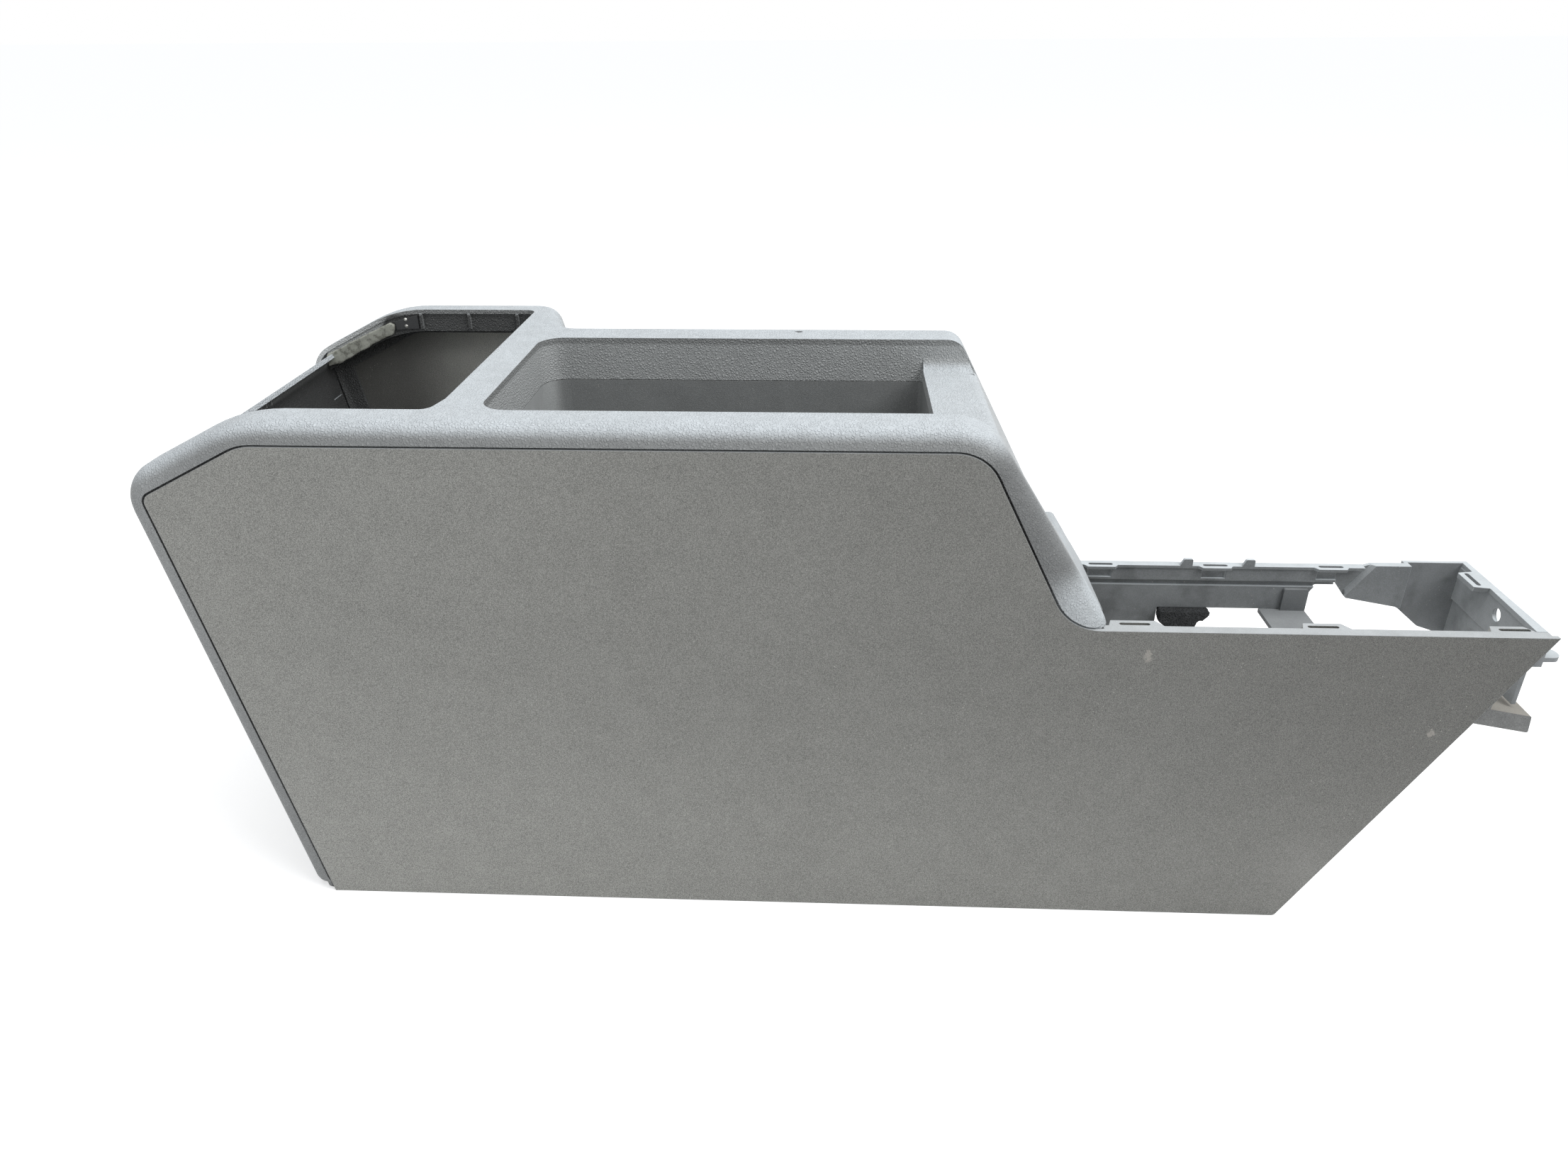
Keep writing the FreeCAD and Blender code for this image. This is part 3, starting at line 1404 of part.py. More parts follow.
def make_felt():
    """Felt strip stuck to the flange of the sloping driver side rim, with torn ends."""
    body = new_body("felt_strip")
    start = size.felt_start
    end = size.felt_end
    top = size.felt_top
    low = top + size.felt_tall
    drop = size.felt_end_drop
    corners = [
        (start, slope_line(low - drop, start), 0.0),
        (start + size.felt_tall, slope_line(low + drop / 2, start + size.felt_tall), 0.0),
        (end - size.felt_tall, slope_line(low, end - size.felt_tall), 0.0),
        (end, slope_line(low + drop / 2, end), 0.0),
        (end + drop, slope_line(low - 3 * drop, end + drop), 0.0),
        (end - drop, slope_line(top + drop, end - drop), 0.0),
        (start, slope_line(top, start), 0.0),
    ]
    pad(body, "XZ_Plane", flange_face() - size.felt_thick, [corners], size.felt_thick)
    keep(body, "felt_strip")


def rod(label, away, across, up, diameter, length):
    """A round rod that runs along Y."""
    body = new_body(label)
    sketch = sketch_on(body, "XZ_Plane", away)
    draw_circle(sketch, across, up, diameter)
    feature = body.newObject("PartDesign::Pad", label + "_pad")
    feature.Profile = sketch
    feature.Length = float(length)
    bind(feature, "Length", length)
    feature.Reversed = True
    checked(feature)
    return body


def rivet_places():
    """Station and height of the rivets of the latch plate."""
    return [(size.rivet_at, size.rivet_low), (size.rivet_at, size.rivet_high)]


def make_latch():
    """Dark latch plate at the knee of the driver side rim."""
    body = new_body("latch_plate")
    corners = [
        (size.latch_start, size.latch_low, 1.0),
        (size.latch_end, size.latch_low + 1, 1.0),
        (size.latch_end, size.latch_front_top, 1.0),
        (size.latch_start, size.latch_rear_top, 1.0),
    ]
    side = flange_face() - size.latch_thick
    pad(body, "XZ_Plane", side, [corners], size.latch_thick)
    pocket(body, "XZ_Plane", side, [], size.latch_thick,
           circles=[(across, up, size.rivet_shank + size.screw_slack) for across, up in rivet_places()])
    keep(body, "latch_plate")


def make_rivets():
    """The two bright rivets of the latch plate, through the flange behind it."""
    face = float(flange_face() - size.latch_thick)
    tall = float(size.rivet_tall)
    through = float(size.latch_thick + size.flange_wall)
    away = Vector(0, -1, 0)
    solids = []
    for across, up in rivet_places():
        seat = Vector(float(across), face, float(up))
        head = Part.makeCone(float(size.rivet_head) / 2, float(size.rivet_head) / 4, tall, seat, away)
        shank = Part.makeCylinder(float(size.rivet_shank) / 2, through, seat, Vector(0, 1, 0))
        solids.append(head.fuse(shank).removeSplitter().Solids[0])
    group = doc.addObject("Part::Feature", "latch_rivets")
    group.Shape = Part.Compound(solids)
    keep(group, "latch_rivets")


def make_foam():
    """Black foam pad stuck below the rail, torn off at its front end."""
    body = new_body("foam_pad")
    corners = [
        (size.foam_start + 8, size.foam_low, 0.0),
        (size.foam_end - 14, size.foam_low, 0.0),
        (size.foam_end - 9, size.foam_low + 5, 0.0),
        (size.foam_end - 7, size.foam_low + 10, 0.0),
        (size.foam_end - 4, size.foam_low + 11, 0.0),
        (size.foam_end, size.rail_bottom - 2, 0.0),
        (size.foam_end, size.rail_bottom, 0.0),
        (size.foam_start, size.rail_bottom, 0.0),
        (size.foam_start, size.foam_low + 11, 0.0),
        (size.foam_start + 4, size.foam_low + 7, 0.0),
    ]
    pad(body, "XZ_Plane", size.foam_near, [corners], size.foam_far - size.foam_near)
    keep(body, "foam_pad")


def screw_shape():
    """One self-tapping screw, head down, with its seat at the origin and a square recess."""
    shank = size.screw_shank / 2
    head = size.screw_head / 2
    tall = size.screw_head_tall
    body = Part.makeCylinder(float(shank), float(size.screw_long) - float(shank))
    body = body.fuse(Part.makeCone(float(shank), float(shank) / 4, float(shank),
                                   Vector(0, 0, float(size.screw_long) - float(shank))))
    cap = Part.makeCylinder(float(head), float(tall), Vector(0, 0, -float(tall)))
    half = float(size.screw_recess) / 2
    recess = Part.makeBox(2 * half, 2 * half, float(tall) * 0.6, Vector(-half, -half, -float(tall)))
    return body.fuse(cap).removeSplitter().cut(recess)


def make_screws():
    """All the self-tapping screws, alike, in one group."""
    screw = screw_shape()
    seats = []
    for across, side in tub_screw_places():
        low = size.ledge_height - size.cover_wall - size.tub_ear_thick
        seats.append(Placement(Vector(float(across), float(side), float(low)), Rotation()))
    towards_near = Rotation(Vector(1, 0, 0), 90)
    for across, up in foot_screw_places():
        side = size.panel_wall + size.frame_wall + size.foot_wall
        seats.append(Placement(Vector(float(across), float(side), float(up)), towards_near))
    group = doc.addObject("Part::Feature", "trim_screws")
    group.Shape = Part.Compound([screw.transformed(seat.toMatrix()) for seat in seats])
    keep(group, "trim_screws")


def centre_parts():
    """Moves all pieces together, so that the origin lies below the middle of the console."""
    room = FreeCAD.BoundBox()
    for piece in parts:
        room.add(piece.Shape.optimalBoundingBox(False, False))
    middle = Vector(-(room.XMin + room.XMax) / 2, -(room.YMin + room.YMax) / 2, -room.ZMin)
    for piece in parts:
        piece.Placement = Placement(middle, Rotation())
    doc.recompute()
    return middle


def write_parts():
    """Checks every object and writes each finished piece to its own file."""
    for item in doc.Objects:
        if "Invalid" in item.State or "Error" in item.State:
            raise RuntimeError("%s is %s" % (item.Label, item.State))
    os.makedirs("parts", exist_ok=True)
    for piece in parts:
        shape = piece.Shape
        if shape.isNull() or not shape.isValid():
            raise RuntimeError("%s has no valid shape" % piece.Label)
        shape.exportStep(os.path.join("parts", piece.Label + ".step"))
        box = shape.BoundBox
        print("%-22s solids %2d faces %4d volume %9.0f  x %.1f..%.1f y %.1f..%.1f z %.1f..%.1f" % (
            piece.Label, len(shape.Solids), len(shape.Faces), shape.Volume,
            box.XMin, box.XMax, box.YMin, box.YMax, box.ZMin, box.ZMax))


outer_form = form("outer_form", 0.0, 0.0, size.foot_round)
wall_form = form("wall_form", size.cover_wall, 0.0 - size.over, 0.0)
lap_form = form("lap_form", size.cover_wall + size.lap_wall, 0.0 - size.over, 0.0)
flange_form = form("flange_form", size.cover_wall, 0.0 - size.over, 0.0, drop=size.flange_depth)
keep(make_cover(outer_form, wall_form, lap_form, flange_form), "upper_cover")
make_passenger_panel()
make_driver_panel(outer_form, wall_form)
make_rear_panel()
make_tub()
make_channel_rail()
make_front_frame()
make_foot_bracket()
make_strap()
make_apron()
make_felt()
make_latch()
make_rivets()
make_foam()
make_screws()
print("origin moved by", centre_parts())
write_parts()
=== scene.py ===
"""Looks of a stripped centre console for the floor tunnel of a van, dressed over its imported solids."""

import logging
import math
from dataclasses import dataclass
from enum import Enum

import bpy
from mathutils import Matrix, Vector


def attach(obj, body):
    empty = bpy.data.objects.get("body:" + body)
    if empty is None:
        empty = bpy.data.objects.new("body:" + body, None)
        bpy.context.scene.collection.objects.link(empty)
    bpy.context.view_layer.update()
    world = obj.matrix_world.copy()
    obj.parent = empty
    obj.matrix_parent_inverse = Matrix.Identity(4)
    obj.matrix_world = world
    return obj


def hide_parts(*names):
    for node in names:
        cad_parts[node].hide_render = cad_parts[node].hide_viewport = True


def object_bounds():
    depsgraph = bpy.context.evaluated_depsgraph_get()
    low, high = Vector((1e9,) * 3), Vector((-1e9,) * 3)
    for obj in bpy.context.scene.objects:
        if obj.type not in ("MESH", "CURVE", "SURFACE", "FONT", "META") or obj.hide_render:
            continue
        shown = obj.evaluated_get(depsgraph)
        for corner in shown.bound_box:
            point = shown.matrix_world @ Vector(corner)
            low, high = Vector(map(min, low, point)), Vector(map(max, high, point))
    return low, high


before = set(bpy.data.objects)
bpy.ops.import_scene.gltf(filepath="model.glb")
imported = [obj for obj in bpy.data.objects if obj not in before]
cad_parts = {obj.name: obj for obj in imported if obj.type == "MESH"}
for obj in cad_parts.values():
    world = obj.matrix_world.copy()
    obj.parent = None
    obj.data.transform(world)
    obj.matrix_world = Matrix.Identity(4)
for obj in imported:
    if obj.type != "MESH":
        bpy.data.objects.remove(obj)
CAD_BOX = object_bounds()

Colour = tuple[float, float, float]
Point = tuple[float, float, float]
Span = tuple[float, float]

LOG = logging.getLogger("console")
WHITE: Colour = (1.0, 1.0, 1.0)

# The photograph's width in pixels, and the width of film that stands for it, in millimetres
IMAGE_WIDE = 2212
FILM_WIDE = 36.0

# The rear end, the near side and the top of the object, in metres
REAR = CAD_BOX[0][0]
NEAR = CAD_BOX[0][1]
TOP = CAD_BOX[1][2]

# Where a mask starts, and where it is full
INWARD: Span = (-0.06, -0.02)
LOOKS_AHEAD: Span = (0.5, 0.8)
EDGES: Span = (0.01, 0.22)
WORN: Span = (0.50, 0.78)
FLECKS: Span = (0.06, 0.13)
DRIFTS: Span = (0.50, 0.66)
CRUMBS: Span = (0.35, 0.6)
SCUFFS: Span = (0.3, 0.8)
STAINS: Span = (0.50, 0.68)
LEATHER_PADS: Span = (0.02, 0.36)
FINE_PADS: Span = (0.03, 0.40)
TORN: Span = (0.48, 0.62)
PITS: Span = (0.1, 0.6)
DULL: Span = (0.35, 0.7)


def srgb(red: int, green: int, blue: int) -> Colour:
    """Turns a colour as seen on a screen into the linear values that shaders take.

    Args:
        red: Red, 0 to 255.
        green: Green, 0 to 255.
        blue: Blue, 0 to 255.

    Returns:
        The linear colour.
    """
    return tuple(((value / 255 + 0.055) / 1.055) ** 2.4 for value in (red, green, blue))


class Value:
    """A shader value that adds its own Math nodes when it is used in an expression."""

    def __init__(self, shader: "Shader", socket: bpy.types.NodeSocket) -> None:
        """Keeps the output socket and the shader that it belongs to."""
        self.shader = shader
        self.socket = socket

    def _math(self, operation: str, first: "Value | float", second: "Value | float") -> "Value":
        """Adds a Math node for two values."""
        made = self.shader.node("ShaderNodeMath", {"operation": operation}, {0: first, 1: second})
        return made.out("Value")

    def __add__(self, other: "Value | float") -> "Value":
        """Adds two values."""
        return self._math("ADD", self, other)

    def __radd__(self, other: float) -> "Value":
        """Adds a number and a value."""
        return self._math("ADD", other, self)

    def __sub__(self, other: "Value | float") -> "Value":
        """Takes a value from this one."""
        return self._math("SUBTRACT", self, other)

    def __rsub__(self, other: float) -> "Value":
        """Takes this value from a number."""
        return self._math("SUBTRACT", other, self)

    def __mul__(self, other: "Value | float") -> "Value":
        """Multiplies two values."""
        return self._math("MULTIPLY", self, other)

    def most(self, other: "Value | float") -> "Value":
        """Gives the larger of two values."""
        return self._math("MAXIMUM", self, other)

    def rises(self, span: Span) -> "Value":
        """Goes smoothly from 0 to 1.

        Args:
            span: Where the result is 0, and where it is 1.

        Returns:
            The smooth step.
        """
        settings = {"interpolation_type": "SMOOTHSTEP", "clamp": True}
        sockets = {"Value": self, "From Min": span[0], "From Max": span[1], "To Min": 0.0, "To Max": 1.0}
        return self.shader.node("ShaderNodeMapRange", settings, sockets).out("Result")

    def falls(self, span: Span) -> "Value":
        """Goes smoothly from 1 at the start of a span to 0 at its end."""
        return 1.0 - self.rises(span)

    def swing(self, share: float, middle: float = 0.5) -> "Value":
        """Gives how far the value is from its middle, times a share."""
        return (self - middle) * share

    def lighter(self, where: "Value", share: "Value | float") -> "Value":
        """Raises the value by a share of itself, as far as a mask says."""
        return self * (1.0 + where * share)

    def darker(self, where: "Value", share: float) -> "Value":
        """Lowers the value by a share of itself, as far as a mask says."""
        return self * (1.0 - where * share)


class Made:
    """A node that has been made, whose outputs come back as values."""

    def __init__(self, shader: "Shader", node: bpy.types.Node) -> None:
        """Keeps the node and its shader."""
        self.shader = shader
        self.node = node

    def out(self, name: str) -> Value:
        """Wraps the output of that name."""
        return Value(self.shader, self.node.outputs[name])


class Shader:
    """Builds the nodes of one material or of the world."""

    def __init__(self, name: str, world: bpy.types.World | None = None) -> None:
        """Starts with no nodes.

        Args:
            name: The material's name.
            world: The world, where its nodes are built in place of a material's.
        """
        self.owner = world or bpy.data.materials.new(name)
        self.owner.use_nodes = True
        self.tree = self.owner.node_tree
        self.tree.nodes.clear()

    def node(self, kind: str, settings: dict | None = None, sockets: dict | None = None) -> Made:
        """Adds one node.

        Args:
            kind: The node's type.
            settings: Properties of the node, set before the sockets.
            sockets: Input values or links, by name or number.

        Returns:
            The node that was made.
        """
        made = self.tree.nodes.new(kind)
        for key, value in (settings or {}).items():
            setattr(made, key, value)
        for key, value in (sockets or {}).items():
            target = made.inputs[key]
            if isinstance(value, Value):
                self.tree.links.new(value.socket, target)
            elif isinstance(value, tuple) and target.type == "RGBA":
                target.default_value = (*value, 1.0)
            else:
                target.default_value = value
        return Made(self, made)

    def place(self) -> Value:
        """Gives the point on the object, in metres."""
        return self.node("ShaderNodeTexCoord").out("Object")

    def facing(self) -> Value:
        """Gives the direction that the surface faces."""
        return self.node("ShaderNodeNewGeometry").out("Normal")

    def axes(self, vector: Value) -> tuple[Value, Value, Value]:
        """Splits a vector into its three parts."""
        parts = self.node("ShaderNodeSeparateXYZ", None, {0: vector})
        return parts.out("X"), parts.out("Y"), parts.out("Z")

    def stretched(self, vector: Value, scale: Point) -> Value:
        """Stretches a vector along its axes."""
        return self.node("ShaderNodeMapping", None, {"Vector": vector, "Scale": scale}).out("Vector")

    def noise(self, vector: Value, per_metre: float, detail: float = 2.0, rough: float = 0.5) -> Value:
        """Adds cloudy noise.

        Args:
            vector: The point to read it at.
            per_metre: How many clouds a metre holds.
            detail: How many finer layers it has.
            rough: How strong the finer layers are.

        Returns:
            The noise, from 0 to 1.
        """
        sockets = {"Vector": vector, "Scale": per_metre, "Detail": detail, "Roughness": rough}
        return self.node("ShaderNodeTexNoise", None, sockets).out("Fac")

    def bent(self, vector: Value, per_metre: float, far: float) -> Value:
        """Moves a point about by noise, so that patterns read at it are less even.

        Args:
            vector: The point.
            per_metre: How many bends a metre holds.
            far: How far the point moves, in metres.

        Returns:
            The moved point.
        """
        sockets = {"Vector": vector, "Scale": per_metre, "Detail": 2.0}
        clouds = self.node("ShaderNodeTexNoise", None, sockets).out("Color")
        sockets = {0: clouds, 1: (far, far, far), 2: vector}
        return self.node("ShaderNodeVectorMath", {"operation": "MULTIPLY_ADD"}, sockets).out("Vector")

    def cells(self, vector: Value, per_metre: float, feature: str = "F1") -> Value:
        """Adds a cell pattern and gives the distance to the cells' centres or edges."""
        sockets = {"Vector": vector, "Scale": per_metre}
        return self.node("ShaderNodeTexVoronoi", {"feature": feature}, sockets).out("Distance")

    def near(self, vector: Value, centre: Point, reach: float) -> Value:
        """Marks a round spot.

        Args:
            vector: The point to read it at.
            centre: The middle of the spot.
            reach: The spot's radius, in metres.

        Returns:
            The spot's strength, 1 in its middle and 0 beyond its radius.
        """
        sockets = {0: vector, 1: centre}
        far = self.node("ShaderNodeVectorMath", {"operation": "DISTANCE"}, sockets).out("Value")
        return far.falls((0.0, reach))

    def scaled(self, colour: "Value | Colour", factor: Value) -> Value:
        """Makes a colour lighter or darker."""
        sockets = {0: colour, "Scale": factor}
        return self.node("ShaderNodeVectorMath", {"operation": "SCALE"}, sockets).out("Vector")

    def blend(self, share: Value, first: "Value | Colour", second: "Value | Colour") -> Value:
        """Mixes two colours.

        Args:
            share: How much of the second colour shows.
            first: The colour at 0.
            second: The colour at 1.

        Returns:
            The mixed colour.
        """
        settings = {"data_type": "RGBA", "clamp_factor": True}
        made = self.node("ShaderNodeMix", settings, {0: share, 6: first, 7: second})
        return Value(self, made.node.outputs[2])

    def rounded_edges(self, radius: float) -> tuple[Value, Value]:
        """Softens sharp edges and finds them.

        Args:
            radius: How far the rounding reaches, in metres.

        Returns:
            The softened normal, and a value that is 0 on flats and rises at edges.
        """
        soft = self.node("ShaderNodeBevel", {"samples": 4}, {"Radius": radius}).out("Normal")
        sockets = {0: soft, 1: self.facing()}
        same = self.node("ShaderNodeVectorMath", {"operation": "DOT_PRODUCT"}, sockets).out("Value")
        return soft, 1.0 - same

    def relief(self, height: Value, deep: float, strength: float, under: Value | None = None) -> Value:
        """Turns a height into a surface normal.

        Args:
            height: The height, about 0 to 1.
            deep: How deep 1 is, in metres.
            strength: How strongly it shows.
            under: A coarser relief below it.

        Returns:
            The normal.
        """
        sockets = {"Height": height, "Distance": deep, "Strength": strength}
        if under is not None:
            sockets["Normal"] = under
        return self.node("ShaderNodeBump", None, sockets).out("Normal")

    def surface(self, sockets: dict) -> bpy.types.Material:
        """Ends the material with a plastic or metal surface.

        Args:
            sockets: Inputs of the surface.

        Returns:
            The finished material.
        """
        skin = self.node("ShaderNodeBsdfPrincipled", None, sockets).out("BSDF")
        self.node("ShaderNodeOutputMaterial", None, {"Surface": skin})
        return self.owner


class Spot:
    """The point that is shaded: its place on the object and the way that its surface faces."""

    def __init__(self, shader: Shader) -> None:
        """Reads the place and the direction, once for the whole material."""
        self.shader = shader
        self.point = shader.place()
        self.along, self.across, self.height = shader.axes(self.point)
        self.ahead, self.sideways, self.up = shader.axes(shader.facing())

    def inward(self) -> Value:
        """Finds the faces of both long sides that look into the object."""
        return (self.sideways * self.across).falls(INWARD)


class Grain(Enum):
    """Kinds of moulded surface."""

    LEATHER = "leather"
    FINE = "fine"
    SMOOTH = "smooth"


@dataclass(frozen=True)
class MouldedPlastic:
    """Grey moulded plastic with grain, dust and painted top light on its upper faces, worn edges with a
    painted highlight, painted shade in the grain's creases and small specks.

    Attributes:
        name: The material's name.
        colour: The bare plastic.
        dust_light_colour: The dust and painted top light, which is also the colour of the worn edges with
            their painted highlight.
        grain: The kind of moulded surface.
        grain_deep: How deep the grain is, in metres.
        roughness: The roughness of the bare plastic.
        dust_and_top_light: How much dust and painted top light lie on faces that look up.
        settles_and_lit: The upward part of a face's direction where dust and painted top light start, and
            where they are full.
        speckle: How strongly the finest noise shifts the shade.
        cloud: How strongly broad clouds shift the shade.
        edge_pale: How pale the edges are, from wear and a painted highlight.
        edge_radius: How far the pale edges reach, in metres.
        crease_shade: How much darker the creases of the grain are, as painted shade.
        dust_light_speckle: How strongly the finest noise and the grain shift the shade of the dust and
            painted top light; the grain's part is painted shade in its creases.
        dust_light_cloud: How strongly small clouds shift it.
        patchy: How strongly small clouds shift how much dust and painted top light lie.
        flecked: How strongly the flecks show.
        fleck: The colour of the flecks.
        polish: How much smoother worn patches are.
        crease_rough: How much the grain shifts the roughness.
        dust_rough: How much rougher the dust is.
        shine: How strongly the plastic mirrors, where 0.5 is common.
    """

    name: str
    colour: Colour
    dust_light_colour: Colour
    grain: Grain
    grain_deep: float = 0.00012
    roughness: float = 0.6
    dust_and_top_light: float = 0.8
    settles_and_lit: Span = (0.25, 0.9)
    speckle: float = 0.3
    cloud: float = 0.12
    edge_pale: float = 0.25
    edge_radius: float = 0.0005
    crease_shade: float = 0.22
    dust_light_speckle: float = 0.16
    dust_light_cloud: float = 0.08
    patchy: float = 0.35
    flecked: float = 0.5
    fleck: Colour = (0.60, 0.59, 0.54)
    polish: float = 0.09
    crease_rough: float = 0.14
    dust_rough: float = 0.10
    shine: float = 0.42

    def material(self) -> bpy.types.Material:
        """Builds the material.

        Returns:
            The finished material.
        """
        shader = Shader(self.name)
        spot = Spot(shader)
        soft, edges = shader.rounded_edges(self.edge_radius)
        broad = shader.noise(spot.point, per_metre=9.0, detail=3.0, rough=0.6)
        small = shader.noise(spot.point, per_metre=70.0, detail=4.0, rough=0.65)
        fine = shader.noise(spot.point, per_metre=1900.0, detail=1.5, rough=0.6)
        pads = self._grain(spot)
        # Random clouds and speckle shift the tone, and the grain's creases get painted shade
        tone = 1.0 + broad.swing(self.cloud) + small.swing(self.cloud * 1.6)
        tone = tone + fine.swing(self.speckle * 2.0) + pads.swing(self.crease_shade, middle=0.6)
        bare = shader.scaled(self.colour, self.toned(spot, tone))
        # Dust lies on faces that look up, and painted top light brightens them
        dust_light_share = spot.up.rises(self.settles_and_lit) * (self.dust_and_top_light + small.swing(self.patchy))
        dust_light_share = self.dusted_and_lit(spot, dust_light_share)
        dust_light_tone = 1.0 + fine.swing(self.dust_light_speckle) + small.swing(self.dust_light_cloud)
        # The grain's creases darken the dust and painted top light too, as painted shade
        dust_light_tone = dust_light_tone + pads.swing(self.dust_light_speckle, middle=0.22)
        body = shader.blend(dust_light_share, bare, shader.scaled(self.dust_light_colour, dust_light_tone))
        # Edges turn pale, from wear and a painted highlight
        body = shader.blend(edges.rises(EDGES) * self.edge_pale, body, self.dust_light_colour)
        body = self.marked(spot, self._with_flecks(spot, body))
        worn = shader.noise(spot.point, per_metre=28.0, detail=5.0, rough=0.7).rises(WORN)
        rough = self.roughness - worn * self.polish + pads.swing(self.crease_rough)
        rough = rough + dust_light_share * self.dust_rough
        coarse = shader.relief(small, deep=0.00018, strength=0.3, under=soft)
        normal = shader.relief(pads, deep=self.grain_deep, strength=0.95, under=coarse)
        return shader.surface({
            "Base Color": body, "Roughness": rough, "Normal": normal, "Specular IOR Level": self.shine,
        })

    def toned(self, spot: Spot, tone: Value) -> Value:
        """Lets a finish paint light and shade onto its own regions; a plain one has none."""
        return tone

    def dusted_and_lit(self, spot: Spot, dust_light_share: Value) -> Value:
        """Lets a finish move its own dust and painted top light; a plain one leaves them."""
        return dust_light_share

    def marked(self, spot: Spot, body: Value) -> Value:
        """Lets a finish carry its own marks; a plain one has none."""
        return body

    def _with_flecks(self, spot: Spot, body: Value) -> Value:
        """Strews small pale flecks over the surface, in drifts.

        Args:
            spot: The point that is shaded.
            body: The colour without them.

        Returns:
            The colour with them.
        """
        flecks = spot.shader.cells(spot.point, per_metre=330.0).falls(FLECKS)
        drifts = spot.shader.noise(spot.point, per_metre=45.0).rises(DRIFTS)
        return spot.shader.blend(flecks * drifts * self.flecked, body, self.fleck)

    def _grain(self, spot: Spot) -> Value:
        """Adds the moulded grain.

        Args:
            spot: The point that is shaded.

        Returns:
            Its height, from 0 in the creases to 1 on the pads.
        """
        shader = spot.shader
        if self.grain is Grain.SMOOTH:
            return shader.noise(spot.point, per_metre=900.0, detail=3.0, rough=0.6)
        wavy = shader.bent(spot.point, per_metre=300.0, far=0.0018)
        if self.grain is Grain.LEATHER:
            pads = shader.cells(wavy, per_metre=600.0, feature="DISTANCE_TO_EDGE").rises(LEATHER_PADS)
            return pads * 0.82 + shader.noise(spot.point, per_metre=1500.0) * 0.18
        pads = shader.cells(wavy, per_metre=1050.0, feature="DISTANCE_TO_EDGE").rises(FINE_PADS)
        return pads * 0.6 + shader.noise(spot.point, per_metre=2300.0) * 0.4


